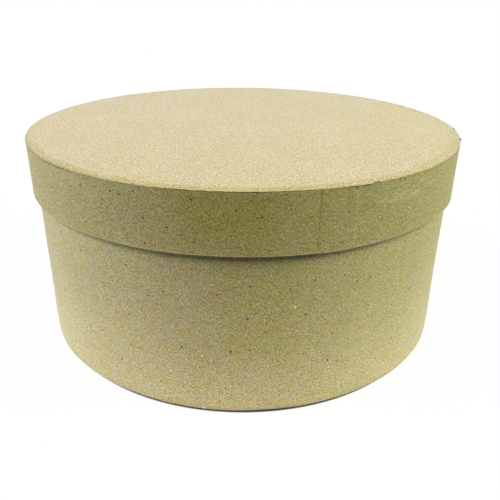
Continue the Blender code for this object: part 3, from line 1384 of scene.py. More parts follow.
    rim_top_zone: float = 2.5 * MM
    lip_wave: float = 0.10 * MM
    lip_reach: float = 1.6 * MM
    fold_rubbed: float = 0.75 * MM
    cut_soil_and_shade: float = 0.14 * MM
    slot_soil_and_shade: float = 0.30 * MM
    torn_drop: float = 0.7 * MM
    torn_in: float = 0.08 * MM

    def build(self, finishes: Finishes) -> None:
        """Makes and dresses every piece of the lid.

        Args:
            finishes: the finishes.
        """
        self.top_sheet(finishes)
        self.rim_strip(finishes)
        self.liner_strip(finishes)
        self.ceiling_sheet(finishes)
        self.slivers(finishes)

    def slot_width(self, angles: Array) -> Array:
        """How much wider than usual the slot under the top sheet's cut edge is, at each angle."""
        uneven = Waves(Seed.SLOT, self.slot_wave, turns=(5, 60)).along_edge(angles)
        return uneven + sum(width * span.at(angles) for width, span in self.slot_gapes) * MM

    def sag(self, angles: Array) -> Array:
        """How far the rim's fold hangs down on the right: depth · exp(−(turn / reach)²)."""
        return self.sag_depth * hump(turn_from(angles, self.sag_angle), self.sag_reach)

    def _top_section(self) -> Section:
        """The top sheet's middle line: flat, then leaning down over the shoulder, and more at the cut edge.

        The slope eases in twice, and the drop is its running total along the radius.

        Returns:
            The section.
        """
        flat_points, shoulder_points = 58, 23
        flat = np.linspace(0.0, self.radius - self.shoulder_width, flat_points)
        radius = np.concatenate((flat, np.linspace(flat[-1], self.radius, shoulder_points)[1:]))
        slope = self.shoulder_lean * smooth((radius - flat[-1]) / self.shoulder_ease)
        slope = slope + self.edge_lean * smooth((radius - self.radius + self.edge_ease) / self.edge_ease)
        drop = np.concatenate(([0.0], np.cumsum(0.5 * (slope[1:] + slope[:-1]) * np.diff(radius))))
        end = len(radius) - 1
        few = (np.arange(0, flat_points, 6), np.arange(flat_points - 1, end + 1, 2), [end])
        return Section(
            np.stack((radius, self.top - 0.5 * self.paper - drop), axis=1),
            np.stack((np.sin(slope), np.cos(slope)), axis=1),
            np.unique(np.concatenate(few)),
        )

    def top_sheet(self, finishes: Finishes) -> bpy.types.Object:
        """The disc on top. Its cut edge wanders by a tenth of a millimetre and is trimmed back at the front.

        At the front right a flap of it lifts and stands out, next to a nick. Past that it is pressed down
        a little and frayed.

        Args:
            finishes: the finishes.

        Returns:
            The piece.
        """
        angles = spaced_angles(-180.0, FULL_TURN, 0.5, ((self.tear_angle, 4.0, 0.12),))[:-1]
        section = self._top_section()
        radius, around = section.points[:, 0], angles[:, None]
        x, y = radius * np.cos(np.radians(around)), radius * np.sin(np.radians(around))
        edge = smooth((radius - (self.radius - self.edge_zone)) / self.edge_zone)[None]
        flap = self.flap.at(angles) * smooth((turn_from(angles, -67.5)) / 3.0)
        uneven = Waves(Seed.TOP_CUT, self.cut_wave, turns=(30, 190), count=40).along_edge(angles)
        frayed = Waves(Seed.TOP_FRAY, self.fray_wave, turns=(90, 300), count=40).along_edge(angles)
        frayed *= self.frayed.at(angles)
        trim = uneven - self.cut_back + frayed + flap * self.flap_out
        trim = trim - self.nick.at(angles) * self.nick_depth - self.trim_depth * self.trimmed.at(angles)
        pressed = self.pressed.at(around, np.zeros_like(radius))
        stand_off = Waves(Seed.TOP_WAVES, self.top_wave, lengths=(0.03, 0.11)).across(x, y) - self.top_wave
        stand_off = stand_off + edge * (pressed + (flap * self.flap_lift)[:, None])
        marks = self._top_marks(angles, radius, x, y)
        surface = round_sheet(section, angles, Face.UP, self.paper, stand_off, edge * trim[:, None], marks)
        piece = make_piece("lid_top_sheet", surface, DISC_SHARP)
        return lay(piece, finishes.top, Body.LID, Slot.TOP, "lid_top_paper")

    def _top_marks(self, angles: Array, radius: Array, x: Array, y: Array) -> dict[str, Array]:
        """The top sheet's marks: handling and painted shade on the shoulder, soiling and painted shade on the
        cut edge, painted shade on the left side, and a dark speck.

        The shoulder carries handling and painted shade as far in as a wavy line, most of all at the front
        left.

        Args:
            angles: the sheet's angles.
            radius: its radii.
            x: places along X, at each angle and radius.
            y: places along Y, same grid.

        Returns:
            The marks, on the same grid.
        """
        around = angles[:, None]
        ragged = Waves(Seed.TOP_WEAR, 1.0, turns=(20, 160), count=30).patches(angles)
        # Painted shade with handling on the shoulder band: darker and yellower where the shoulder leans away
        # from the light, most at the front left.
        shoulder = 0.3 + 0.25 * self.near_side.at(angles) + 0.45 * self.near_left.at(angles)
        shoulder = shoulder + 0.4 * self.far_side.at(angles)
        line = Waves(Seed.TOP_HANDS, 1.0, turns=(6, 70), count=30).across(x / 3.0, y / 3.0)
        inward = self.radius - radius - self.handled_shade_wave * line
        worn_and_shaded = shoulder * (0.7 + 0.3 * ragged)
        handled_shade = (1.0 - smooth((inward - self.handled_shade_width) / self.handled_shade_ease)) * worn_and_shaded[:, None]
        speck = self.speck.at(around, radius)
        # Soiling along the cut edge, and painted shade where the edge lies in shadow, most at the right.
        dirt_and_shade = 0.2 * (1.0 - ragged) + 0.42 * self.shaded_right_edge.at(angles) + 0.15 * self.shaded_right_side.at(angles)
        at_edge = hump(radius - self.radius, self.edge_soil_and_shade_width)[None]
        # Painted shade on the left of the shoulder, which leans away from the light.
        left_shade = 0.24 * self.shaded_left_edge.at(angles)[:, None] * hump(self.radius - radius, self.left_shade_width)
        return marks_of(handled_shade.shape, handled_shade, speck + at_edge * dirt_and_shade[:, None] + left_shade)

    def rim_strip(self, finishes: Finishes) -> bpy.types.Object:
        """The strip round the rim: down the outside, round under the hoop's edge and up inside.

        Its ends lap at the front right, the outer one cut there. The paper waves a little between the
        hoop and its nominal face, its upper edge leaves a slot under the top sheet, and its fold hangs
        down at the right.

        Args:
            finishes: the finishes.

        Returns:
            The piece.
        """
        half = 0.5 * self.paper
        outer, inner = self.radius - half, self.bore + half
        corners = ((outer, self.rim_top), (outer, self.low + half), (inner, self.low + half))
        corners += ((inner, self.low + self.turn_in),)
        section = Section.bent(corners, self.fold, self.rim_paces)
        close = ((self.lap.angle, 0.5, 0.08), (self.lap.angle + 7.5, 1.2, 0.2), (self.tear_angle, 2.5, 0.2))
        angles = spaced_angles(self.lap.angle, self.lap.span(outer), 0.52, close)
        around, run = angles[:, None], section.run[None]
        height = section.points[:, 1][None]
        shown = section.outside(outer - self.fold)
        waves = Waves(Seed.RIM_WAVES, self.rim_wave, turns=(4, 26), lengths=(0.02, 0.06))
        sunk = waves.round_about(around, run) - self.rim_wave
        stand_off = self.lap.rise(angles, outer, self.paper)[:, None] + shown * sunk
        lip = Waves(Seed.RIM_LIP, self.lip_wave, turns=(3, 18)).along_edge(angles)[:, None]
        stand_off = stand_off + hump(height - self.low, self.lip_reach) * lip * (1.0 - shown)
        at_top = smooth((height - (self.rim_top - self.rim_top_zone)) / self.rim_top_zone) * shown
        sag = self.sag(around) * smooth((self.low + self.sag_height - height) / self.sag_height)
        stand_off = stand_off - sag * section.normals[:, 1]
        slide = at_top * self.slot_width(angles)[:, None] - sag * section.tangents[:, 1]
        marks = self._rim_marks(angles, section, shown)
        surface = lapped_strip(section, angles, outer, self.paper, stand_off, slide, marks)
        piece = make_piece("lid_rim_strip", surface)
        return lay(piece, finishes.rim, Body.LID, Slot.WRAP, "lid_wrap")

    def _rim_marks(self, angles: Array, section: Section, shown: Array) -> dict[str, Array]:
        """The marks of the rim strip.

        Its lower fold and the scuffs are rubbed, glue and soiling with painted shade sit at the lap's cut and
        in the slot below the top sheet, and the front carries painted shade, darker and yellower, more so
        higher up.

        Args:
            angles: the strip's angles.
            section: its section.
            shown: one on the outer face and none on the others, at each point.

        Returns:
            The marks, at each angle and point.
        """
        around, height = angles[:, None], section.points[:, 1][None]
        arc = self.lap.arc(angles, self.radius)[:, None]
        ragged = Waves(Seed.RIM_WEAR, 1.0, turns=(8, 90), count=30).patches(around)
        rubbed = 0.55 * hump(height - self.low - 0.2 * MM, self.fold_rubbed) * ragged
        rubbed = rubbed + sum(scuff.at(around, height) for scuff in self.scuffs)
        faded = 0.3 + 0.7 * smooth((height - 79.0 * MM) / (3.0 * MM))
        # Painted shade and glue at the lap's cut: a dark line beside the outer end's step.
        cut = np.exp(-arc / self.cut_soil_and_shade) * (0.55 + 0.45 * ragged) * faded
        # Painted shade with glue and soiling in the slot below the top sheet's cut edge.
        under = hump(height - self.rim_top, self.slot_soil_and_shade) * shown * (0.15 + 0.85 * ragged)
        under = under * (1.0 - 0.7 * self.slot_less_dark.at(around))
        # Painted shade on the rim's front, darker and yellower, more so higher up.
        front_shade = self.front_shade.at(around) * (0.35 + 0.65 * smooth((height - 76.0 * MM) / (7.0 * MM)))
        shape = (len(angles), len(section.points))
        return marks_of(shape, rubbed, 0.42 * cut + 0.45 * under, front_shade * shown)

    def liner_strip(self, finishes: Finishes) -> bpy.types.Object:
        """The strip inside the rim, straight from the edge of the fold up to the lid's board.

        Args:
            finishes: the finishes.

        Returns:
            The piece.
        """
        pace, lap = 0.9 * MM, self.liner_lap
        inside = Lining(self.bore, self.liner_low, self.liner_high, self.paper, lap, pace, Seed.LID_LINER)
        return lay(inside.piece("lid_liner_strip"), finishes.lining, Body.LID, Slot.LINING, "lid_liner")

    def ceiling_sheet(self, finishes: Finishes) -> bpy.types.Object:
        """The disc on the underside of the lid's board, facing down.

        Args:
            finishes: the finishes.

        Returns:
            The piece.
        """
        disc = Disc(self.ceiling_radius, self.ceiling, self.paper, Face.DOWN, Seed.CEILING)
        return lay(disc.piece("lid_ceiling_sheet"), finishes.lining, Body.LID, Slot.LINING, "lid_inner_paper")

    def slivers(self, finishes: Finishes) -> bpy.types.Object:
        """Torn slivers of paper that stand off the top sheet's cut edge.

        Each is a flat tapering tube along a short curve: its centre line is an arc of the edge, moved
        outward by a parabola, and its ring is an ellipse whose size falls to almost none at both ends.

        Args:
            finishes: the finishes.

        Returns:
            The piece.
        """
        steps, sides = 13, 8
        along = np.linspace(-1.0, 1.0, steps)
        ring = np.linspace(0.0, math.tau, sides + 1)[:-1]
        index = np.arange(steps * sides).reshape(steps, sides)
        vertices, faces = [], []
        for count, sliver in enumerate(self.torn):
            turn = np.radians(sliver.angle + 0.5 * sliver.length * along)[:, None]
            swell = sliver.thick * MM * np.sqrt(np.clip(1.0 - along**2, 0.003, 1.0))[:, None]
            away = self.radius - self.torn_in + sliver.out * MM * (1.0 - along[:, None] ** 2) * 0.8
            radius = away + 0.5 * swell * np.cos(ring)
            level = self.top - self.torn_drop + sliver.rise * MM + 0.9 * swell * np.sin(ring)
            grid = np.stack((radius * np.cos(turn), radius * np.sin(turn), level), axis=-1)
            own = index + count * index.size
            faces += ring_quads(own) + [own[0].tolist(), own[-1, ::-1].tolist()]
            vertices.append(grid.reshape(-1, 3))
        space = np.concatenate(vertices)
        marks = {PLACE: space} | marks_of((len(space),), 0.0, 0.0)
        piece = make_piece("lid_edge_slivers", Surface(space, faces, marks))
        # The slivers take the near-black paper that stands for their shade.
        return lay(piece, finishes.torn, Body.LID, Slot.TOP)


@dataclass(frozen=True)
class Lining:
    """A plain lapped strip on the inside of a wall.

    Attributes:
        bore: the radius of its face.
        low: where it starts.
        high: where it ends.
        paper: the paper's thickness.
        lap: its overlap.
        pace: the distance between its points.
        seed: the seed of its waves, and the next one is that of its edges.
        wave: how far it waves in and out.
        uneven: how far its edges wander.
        edge_zone: how far in from an edge its unevenness reaches.
        edge_rubbed: how far in it is rubbed.
        cut_soil_and_shade: the width of the soiling and painted shade along the lap's cut.
    """

    bore: float
    low: float
    high: float
    paper: float
    lap: Lap
    pace: float
    seed: int
    wave: float = 0.06 * MM
    uneven: float = 0.12 * MM
    edge_zone: float = 3.0 * MM
    edge_rubbed: float = 0.3 * MM
    cut_soil_and_shade: float = 0.15 * MM

    def piece(self, name: str) -> bpy.types.Object:
        """Makes the strip, upwards, so that its front looks at the axis.

        It is straight, and stands off by the lap's rise and its waves. Its edges wander and are rubbed,
        and soiling with painted shade sits at the lap's cut.

        Args:
            name: the piece's name.

        Returns:
            The piece, not yet dressed.
        """
        radius = self.bore + 0.5 * self.paper
        section = Section.bent(((radius, self.low), (radius, self.high)), 0.0, (self.pace,))
        angles = spaced_angles(self.lap.angle, self.lap.span(radius), 0.8, ((self.lap.angle, 0.5, 0.1),))
        around, run = angles[:, None], section.run[None]
        wave = Waves(self.seed, self.wave, turns=(3, 20), lengths=(0.03, 0.09)).round_about(around, run)
        stand_off = self.lap.rise(angles, radius, self.paper)[:, None] + wave
        ends = np.minimum(run, section.run[-1] - run)
        uneven = Waves(self.seed + 1, self.uneven, turns=(10, 90), count=30).along_edge(around)
        cut = np.exp(-self.lap.arc(angles, radius) / self.cut_soil_and_shade)[:, None]
        marks = marks_of(stand_off.shape, 0.35 * np.exp(-ends / self.edge_rubbed), 0.5 * cut)
        slide = uneven * smooth(1.0 - ends / self.edge_zone)
        return make_piece(name, lapped_strip(section, angles, radius, self.paper, stand_off, slide, marks))


@dataclass(frozen=True)
class Disc:
    """A flat disc of paper with a slightly uneven cut edge.

    Attributes:
        radius: its radius.
        low: the height of its lower face.
        paper: the paper's thickness.
        face: which way it looks.
        seed: the seed of its edge.
        uneven: half of how far its edge comes in at most.
        edge_rubbed: how far in it is rubbed.
    """

    radius: float
    low: float
    paper: float
    face: Face
    seed: int
    uneven: float = 0.12 * MM
    edge_rubbed: float = 0.4 * MM

    def piece(self, name: str) -> bpy.types.Object:
        """Makes the disc, with its rings closer together at the cut edge, which wanders and is rubbed.

        Args:
            name: the piece's name.

        Returns:
            The piece, not yet dressed.
        """
        angles = spaced_angles(-180.0, FULL_TURN, 0.75)[:-1]
        wide_rings, close_rings, edge_share, zone_share = 24, 7, 0.96, 0.03
        wide = np.linspace(0.0, edge_share, wide_rings)
        reach = np.concatenate((wide, np.linspace(edge_share, 1.0, close_rings)[1:])) * self.radius
        upwards = 1.0 if self.face is Face.UP else -1.0
        points = np.stack((reach, np.full_like(reach, self.low + 0.5 * self.paper)), axis=1)
        if self.face is Face.DOWN:
            points = points[::-1]
        end = len(points) - 1
        hidden = np.unique(np.concatenate((np.arange(0, end + 1, 4), [end])))
        section = Section(points, np.tile((0.0, upwards), (len(points), 1)), hidden)
        edge_zone = zone_share * self.radius
        edge = smooth((points[:, 0] - (1.0 - zone_share) * self.radius) / edge_zone)[None]
        cut = Waves(self.seed, self.uneven, turns=(10, 110), count=30).along_edge(angles) - self.uneven
        slide = edge * cut[:, None] * upwards
        rubbed = 0.4 * hump(points[:, 0] - self.radius, self.edge_rubbed)[None]
        marks = marks_of(slide.shape, rubbed, 0.0)
        surface = round_sheet(section, angles, self.face, self.paper, np.zeros_like(slide), slide, marks)
        return make_piece(name, surface, DISC_SHARP)


@dataclass(frozen=True)
class Box:
    """The box: a lapped strip round the outside, a lining, and discs on the floor and under the base.

    Attributes:
        paper: the paper's thickness.
        radius: the outside of the wrap's paper.
        mouth: the height of the mouth.
        bore: the inside of the turned-in paper.
        low: the height of the fold under the base.
        turn_in: how far down inside the mouth the strip goes.
        turn_under: how far in under the base.
        fold: the radius of its folds.
        liner_low: where the lining starts.
        liner_high: where it ends.
        floor_radius: the radius of the disc on the floor.
        floor: the height of its lower face.
        base_radius: the radius of the disc under the base.
        line_height: the height from which the painted shadow under the lid's rim fades downwards.
        line_start: how far above that it starts.
        line_ease: over how much it does.
        line_angle: where the line is darkest.
        line_left: how far it reaches from there to the left, in degrees.
        line_right: the same to the right.
        bulge_height: the middle of the swelling above the bottom fold.
        bulge_reach: how far up and down it goes.
        bulge_depth: how far it stands out at most.
        crease: a small place that stands out just above the bottom fold.
        dip: the nick in which the fold touches the ground.
        front_shade: where the front of the paper carries painted shade, darker and yellower.
        lap: the overlap of the strip.
        liner_lap: the overlap of the lining.
        paces: the distance between points inside the mouth, across it, down the outside and under the base.
        wave: how far the paper waves in and out.
        fold_rubbed: the height of the rubbed stretch of a fold.
        cut_soil_and_shade: the width of the soiling and painted shade along the lap's cut.
        fold_floor_shade: where the bottom fold carries a painted shadow from the floor it stands on.
        fold_floor_shade_height: how high up it is.
        fold_floor_shade_ease: over how much that ends.
    """

    paper: float
    radius: float = 99.15 * MM
    mouth: float = 93.1 * MM
    bore: float = 97.15 * MM
    low: float = 0.4 * MM
    turn_in: float = 15.0 * MM
    turn_under: float = 10.0 * MM
    fold: float = 0.70 * MM
    liner_low: float = 3.05 * MM
    liner_high: float = 77.8 * MM
    floor_radius: float = 96.75 * MM
    floor: float = 3.0 * MM
    base_radius: float = 96.65 * MM
    line_height: float = 69.95 * MM
    line_start: float = 0.9 * MM
    line_ease: float = 0.7 * MM
    line_angle: float = -86.0
    line_left: float = 36.0
    line_right: float = 23.0
    bulge_height: float = 8.0 * MM
    bulge_reach: float = 4.5 * MM
    bulge_depth: float = 0.30 * MM
    crease: Spot = Spot(-76.0, 2.2 * MM, 1.6, 1.2 * MM, 0.18 * MM)
    dip: Spot = Spot(-99.18, 0.0, 0.30, 1.4 * MM, 0.30 * MM)
    front_shade: Span = Span(-94.0, -77.0, 9.0)
    lap: Lap = Lap(112.0)
    liner_lap: Lap = Lap(74.0, length=11.0 * MM, curl=0.05 * MM)
    paces: tuple[float, ...] = (1.8 * MM, 0.2 * MM, 1.15 * MM, 2.0 * MM)
    wave: float = 0.11 * MM
    fold_rubbed: float = 0.8 * MM
    cut_soil_and_shade: float = 0.16 * MM
    fold_floor_shade: Span = Span(-110.0, -66.0, 28.0)
    fold_floor_shade_height: float = 1.0 * MM
    fold_floor_shade_ease: float = 0.45 * MM

    def build(self, finishes: Finishes) -> None:
        """Makes and dresses every piece of the box.

        Args:
            finishes: the finishes.
        """
        self.side_strip(finishes)
        self.liner_strip(finishes)
        self.floor_sheet(finishes)
        self.base_sheet(finishes)

    def side_strip(self, finishes: Finishes) -> bpy.types.Object:
        """The strip round the box: up inside the mouth, over it, down the outside and in under the base.

        The paper waves a little, swells by a few tenths of a millimetre just above the bottom fold, and
        touches the ground in one small nick.

        Args:
            finishes: the finishes.

        Returns:
            The piece.
        """
        half = 0.5 * self.paper
        outer, inner = self.radius - half, self.bore + half
        corners = (
            (inner, self.mouth - self.turn_in),
            (inner, self.mouth - half),
            (outer, self.mouth - half),
            (outer, self.low + half),
            (self.radius - self.turn_under, self.low + half),
        )
        section = Section.bent(corners, self.fold, self.paces)
        at_cut, at_dip = (self.lap.angle, 0.5, 0.1), (-99.2, 0.8, 0.12)
        angles = spaced_angles(self.lap.angle, self.lap.span(outer), 0.68, (at_cut, at_dip))
        around, run = angles[:, None], section.run[None]
        height = section.points[:, 1][None]
        shown = section.outside(outer - self.fold)
        long_waves = Waves(Seed.SIDE_WAVES, self.wave, turns=(3, 22), lengths=(0.018, 0.08), count=30)
        swelling = Waves(Seed.SIDE_SWELL, 1.0, turns=(4, 24), lengths=(0.03, 0.09))
        bulge = self.bulge_depth * hump(height - self.bulge_height, self.bulge_reach)
        bulge = bulge * (0.5 + 0.5 * swelling.round_about(around, run))
        uneven = long_waves.round_about(around, run) + bulge + self.crease.at(around, height)
        stand_off = self.lap.rise(angles, outer, self.paper)[:, None] + shown * uneven
        stand_off = stand_off + self.dip.at(around, height) * (1.0 - shown)
        marks = self._side_marks(angles, section, shown)
        slide = np.zeros(stand_off.shape)
        surface = lapped_strip(section, angles, outer, self.paper, stand_off, slide, marks)
        piece = make_piece("box_side_strip", surface)
        return lay(piece, finishes.wrap, Body.BOX, Slot.WRAP, "box_wrap")

    def _side_marks(self, angles: Array, section: Section, shown: Array) -> dict[str, Array]:
        """The marks of the box's strip.

        Its folds are rubbed in patches. Glue and soiling with painted shade sit at the lap's cut, a painted
        shadow lies in a line below the lid's edge, most of all at the front, and painted shade lies on the
        front of the bottom fold. The front carries a little painted shade, darker and yellower, above the
        lowest 20 mm.

        Args:
            angles: the strip's angles.
            section: its section.
            shown: one on the outer face and none on the others, at each point.

        Returns:
            The marks, at each angle and point.
        """
        around, height = angles[:, None], section.points[:, 1][None]
        ragged = Waves(Seed.SIDE_WEAR, 1.0, turns=(8, 90), count=30).patches(around)
        folds = hump(height - self.low, self.fold_rubbed) + hump(height - self.mouth, self.fold_rubbed)
        cut = np.exp(-self.lap.arc(angles, self.radius - 0.5 * self.paper) / self.cut_soil_and_shade)[:, None]
        # Painted shadow under the lid's rim: a dark band down the wall from where the lid's edge ends,
        # strongest at the front.
        aside = turn_from(around, self.line_angle)
        front = np.minimum(1.15 * hump(aside, np.where(aside > 0.0, self.line_right, self.line_left)), 1.0)
        below = self.line_height - height
        fades = 1.0 - smooth(below / ((1.4 + 1.5 * front) * MM))
        line = smooth((below + self.line_start) / self.line_ease) * fades * shown
        # Painted shadow on the front of the bottom fold, where it meets the floor.
        at_fold = self.fold_floor_shade.at(around)
        at_fold = at_fold * smooth((self.fold_floor_shade_height - height) / self.fold_floor_shade_ease)
        grime_and_shade = 0.8 * cut + line * (0.12 + 0.88 * front) + 0.9 * at_fold * shown
        # Painted shade on the wall's front, darker and yellower above the lowest 20 mm.
        front_shade = 0.45 * self.front_shade.at(around) * smooth((height - 20.0 * MM) / (12.0 * MM)) * shown
        return marks_of((len(angles), len(section.points)), 0.35 * folds * ragged, grime_and_shade, front_shade)

    def liner_strip(self, finishes: Finishes) -> bpy.types.Object:
        """The strip inside the wall, from the floor to the edge of the fold.

        Args:
            finishes: the finishes.

        Returns:
            The piece.
        """
        pace, lap = 1.8 * MM, self.liner_lap
        inside = Lining(self.bore, self.liner_low, self.liner_high, self.paper, lap, pace, Seed.BOX_LINER)
        return lay(inside.piece("box_liner_strip"), finishes.lining, Body.BOX, Slot.LINING, "box_liner")

    def floor_sheet(self, finishes: Finishes) -> bpy.types.Object:
        """The disc on the floor of the box.

        Args:
            finishes: the finishes.

        Returns:
            The piece.
        """
        disc = Disc(self.floor_radius, self.floor, self.paper, Face.UP, Seed.FLOOR)
        return lay(disc.piece("box_floor_sheet"), finishes.lining, Body.BOX, Slot.LINING, "base_inner_paper")

    def base_sheet(self, finishes: Finishes) -> bpy.types.Object:
        """The disc under the base, on which the box stands.

        Args:
            finishes: the finishes.

        Returns:
            The piece.
        """
        disc = Disc(self.base_radius, 0.0, self.paper, Face.DOWN, Seed.BASE)
        return lay(disc.piece("box_base_sheet"), finishes.base, Body.BOX, Slot.BASE, "base_outer_paper")


@dataclass(frozen=True)
class Boards:
    """The hoops and discs of board, which stay as the CAD made them."""

    names: tuple[str, ...] = ("box_hoop", "base_board", "lid_hoop", "lid_board")

    def dress(self, finishes: Finishes) -> None:
        """Gives each board its finish.

        Args:
            finishes: the finishes.
        """
        for name in self.names:
            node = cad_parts[name]
            for slot in node.material_slots:
                slot.material = finishes.board
            LOG.info("%s: dressed as board", name)


@dataclass(frozen=True)
class SoftBox:
    """A square studio lamp that looks at the object.

    Attributes:
        name: the lamp's name.
        place: where it stands.
        size: its width and height.
        power: its power in watts.
        tint: its colour, linear.
        aim: what it looks at.
    """

    name: str
    place: Point
    size: tuple[float, float]
    power: float
    tint: Colour
    aim: Point = (0.0, 0.0, 0.06)

    def hang(self) -> bpy.types.Object:
        """Makes the lamp. It turns so that its −Z looks along the line from its place to its aim.

        Returns:
            The lamp.
        """
        data = bpy.data.lights.new(self.name, "AREA")
        data.shape = "RECTANGLE"
        data.size, data.size_y = self.size
        data.energy = self.power
        data.color = self.tint
        lamp = into_scene(self.name, data)
        back = np.array(self.place) - np.array(self.aim)
        back /= np.linalg.norm(back)
        side = np.cross((0.0, 1.0, 0.0) if abs(back[2]) > 0.99 else (0.0, 0.0, 1.0), back)
        side /= np.linalg.norm(side)
        lamp.matrix_world = standing((side, np.cross(back, side), back), self.place)
        lamp.visible_camera = False
        return lamp


@dataclass(frozen=True)
class Viewpoint:
    """The photograph's camera: a pinhole, found by fitting the ellipses of the lid and the base.

    Attributes:
        place: where it stands.
        pitch: how far it looks down.
        yaw: how far it looks to the right.
        roll: how far it leans.
        focal_pixels: its focal length in pixels of the picture.
        picture_side: the picture's side in pixels.
        sensor: the sensor's side in millimetres.
    """

    place: Point = (0.0, -0.27862, 0.15854)
    pitch: float = 0.4442
    yaw: float = 0.0134
    roll: float = -0.0109
    focal_pixels: float = 565.0
    picture_side: float = 500.0
    sensor: float = 36.0

    def set_up(self) -> bpy.types.Object:
        """Makes the scene's camera.

        The view is (sin yaw · cos pitch, cos yaw · cos pitch, −sin pitch), right is level, down is their
        cross product, and both turn about the view by the roll.

        Returns:
            The camera.
        """
        sin, cos = math.sin, math.cos
        flat = cos(self.pitch)
        view = np.array((sin(self.yaw) * flat, cos(self.yaw) * flat, -sin(self.pitch)))
        level = np.array((cos(self.yaw), -sin(self.yaw), 0.0))
        down = np.cross(view, level)
        right = cos(self.roll) * level + sin(self.roll) * down
        lower = -sin(self.roll) * level + cos(self.roll) * down
        data = bpy.data.cameras.new("studio_camera")
        data.sensor_width = self.sensor
        data.lens = self.focal_pixels / self.picture_side * self.sensor
        data.clip_start, data.clip_end = 0.01, 50.0
        camera = into_scene("studio_camera", data)
        camera.matrix_world = standing((right, -lower, -view), self.place)
        bpy.context.scene.camera = camera
        return camera


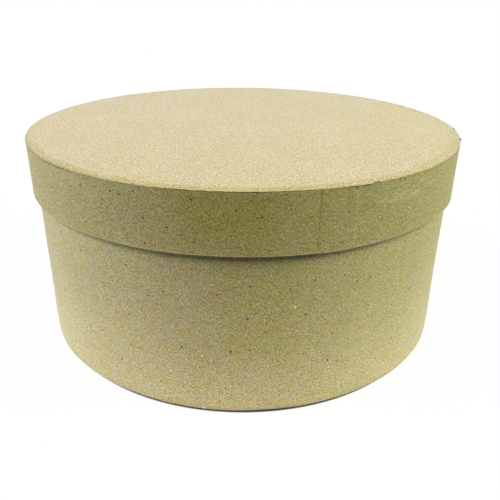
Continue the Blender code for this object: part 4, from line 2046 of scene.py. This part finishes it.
@dataclass(frozen=True)
class Studio:
    """A pale floor, a white surround and soft lamps.

    Attributes:
        lamps: the soft boxes.
        ambient: the surround's strength as a light.
        floor_size: half the floor's side.
        floor_drop: how far below the box it lies.
        floor_tone: the floor's own shade of white.
        glow: how strongly the floor round the box lights it from below.
        glow_tint: the colour of that light.
        glow_near: the radius where it starts to fall.
        glow_far: the radius where it has gone.
        contact_dark: the radius within which the floor under the box's fold is dark.
        contact_white: the radius where it is white again, at the front.
        contact_ease: how far these radii shrink from the front to the side.
        contact_shadow: how dark it is there.
        shaded: the radius within which the ring of light is covered.
        shadow: how much of the white near the box depends on the light, as a shadow there shows.
        shadow_reach: the radii between which that share falls to none.
    """

    lamps: tuple[SoftBox, ...] = (
        SoftBox("high_left", (-0.7, -0.25, 0.8), (0.4, 0.4), 4.3, (1.13, 0.86, 1.01)),
        SoftBox("high_right", (0.7, -0.25, 0.8), (0.4, 0.4), 6.0, (1.13, 1.12, 0.75)),
        SoftBox("low_back", (0.0, 1.3, 0.3), (1.6, 0.5), 7.5, (0.78, 0.98, 1.24)),
        SoftBox("left", (-1.1, -0.1, 0.45), (0.8, 0.8), 7.0, (0.76, 1.01, 1.23)),
        SoftBox("right", (1.1, -0.1, 0.45), (0.8, 0.8), 3.9, (0.77, 1.00, 1.23)),
        SoftBox("low_left", (-1.2, 0.35, 0.2), (0.5, 0.3), 1.8, (0.94, 0.94, 1.12)),
    )
    ambient: float = 0.01
    floor_size: float = 12.0
    floor_drop: float = 0.02 * MM
    floor_tone: float = 0.4
    glow: float = 1.38
    glow_tint: Colour = (0.95, 0.88, 1.17)
    glow_near: float = 0.142
    # contact_dark: the radius within which the floor under the box's fold is dark, a painted shadow.
    glow_far: float = 0.178
    contact_dark: float = 0.0990
    contact_white: float = 0.0998
    # contact_shadow: how dark that painted shadow is.
    contact_ease: float = 0.005
    contact_shadow: float = 0.95
    shaded: float = 0.102
    shadow: float = 0.04
    shadow_reach: tuple[float, float] = (0.12, 0.25)

    def set_up(self) -> None:
        """Makes the floor, the surround and the lamps."""
        self._floor()
        self._surround()
        for lamp in self.lamps:
            lamp.hang()

    @staticmethod
    def _seen(mix: Recipe) -> Socket:
        """One on rays from the camera, or from a gloss or glass, and none on light that falls on things.

        Args:
            mix: the recipe.

        Returns:
            The value's socket.
        """
        path = mix.add("ShaderNodeLightPath").outputs
        seen = mix.calc("MAXIMUM", path["Is Camera Ray"], path["Is Glossy Ray"])
        return mix.calc("MAXIMUM", seen, path["Is Transmission Ray"])

    def _floor(self) -> bpy.types.Object:
        """A wide level sheet just under the box, which lights the box from a ring round it.

        The camera sees it white, with a faint shadow and, at the front, a painted shadow: a dark line where
        the box meets it. Close to the box the ring of light is covered, as the floor there is in the box's
        shade.

        Returns:
            The floor.
        """
        half, below = self.floor_size, -self.floor_drop
        mesh = bpy.data.meshes.new("studio_floor")
        corners = [(-half, -half, below), (half, -half, below), (half, half, below), (-half, half, below)]
        mesh.from_pydata(corners, [], [(0, 1, 2, 3)])
        floor = into_scene("studio_floor", mesh)

        mix = Recipe.of_material("studio_floor_white")
        place = mix.add("ShaderNodeTexCoord").outputs["Object"]
        distance = mix.add("ShaderNodeVectorMath", {"operation": "LENGTH"}, Vector=place).outputs["Value"]
        paper = mix.add("ShaderNodeBsdfDiffuse", Color=(self.floor_tone,) * 3 + (1.0,))
        strength = mix.ramp(distance, self.glow_near, self.glow_far, self.glow, 0.0)
        strength = mix.calc("MULTIPLY", strength, mix.ramp(distance, self.contact_dark, self.shaded))
        light = mix.add("ShaderNodeEmission", Color=(*self.glow_tint, 1.0), Strength=strength)
        lit = mix.two_shaders("ShaderNodeAddShader", paper, light)
        along = mix.add("ShaderNodeSeparateXYZ", Vector=place).outputs["Y"]
        sideways = mix.calc("ADD", mix.calc("DIVIDE", along, mix.calc("MAXIMUM", distance, MM)), 1.0)
        reach = mix.calc("MULTIPLY_ADD", sideways, self.contact_ease, distance)
        # Painted shadow where the box meets the floor: the white that the camera sees is dimmed there, most at
        # the front.
        contact_shadow = mix.ramp(reach, self.contact_dark, self.contact_white, self.contact_shadow, 0.0)
        near = mix.ramp(distance, *self.shadow_reach, self.shadow, 0.0)
        bare = mix.calc("MULTIPLY", mix.calc("SUBTRACT", 1.0, near), mix.calc("SUBTRACT", 1.0, contact_shadow))
        grey = mix.add("ShaderNodeCombineColor", Red=near, Green=near, Blue=near).outputs[0]
        shade = mix.add("ShaderNodeBsdfDiffuse", Color=grey)
        white = mix.add("ShaderNodeEmission", Strength=bare)
        shown = mix.two_shaders("ShaderNodeAddShader", shade, white)
        both = mix.two_shaders("ShaderNodeMixShader", lit, shown, Fac=self._seen(mix))
        mix.add("ShaderNodeOutputMaterial", Surface=both.outputs[0])
        floor.data.materials.append(mix.owner)
        return floor

    def _surround(self) -> None:
        """A world that is white to the camera and to gloss, and a faint even light otherwise."""
        mix = Recipe(bpy.data.worlds.new("studio_surround"))
        white = (1.0, 1.0, 1.0, 1.0)
        faint = mix.add("ShaderNodeBackground", Color=white, Strength=self.ambient)
        bright = mix.add("ShaderNodeBackground", Color=white, Strength=1.0)
        both = mix.two_shaders("ShaderNodeMixShader", faint, bright, Fac=self._seen(mix))
        mix.add("ShaderNodeOutputWorld", Surface=both.outputs[0])
        bpy.context.scene.world = mix.owner


def main() -> None:
    """Builds the box, the lid, the boards, the studio and the camera, in that order."""
    logging.basicConfig(level=logging.INFO, format="%(name)s: %(message)s")
    bpy.context.scene.view_settings.view_transform = "Standard"
    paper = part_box("base_outer_paper")[1].z
    finishes = Finishes.make()
    lid_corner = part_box("lid_top_paper")[1]
    Box(paper).build(finishes)
    Lid(lid_corner.x, lid_corner.z, paper).build(finishes)
    Boards().dress(finishes)
    Studio().set_up()
    Viewpoint().set_up()


if __name__ == "__main__":
    main()
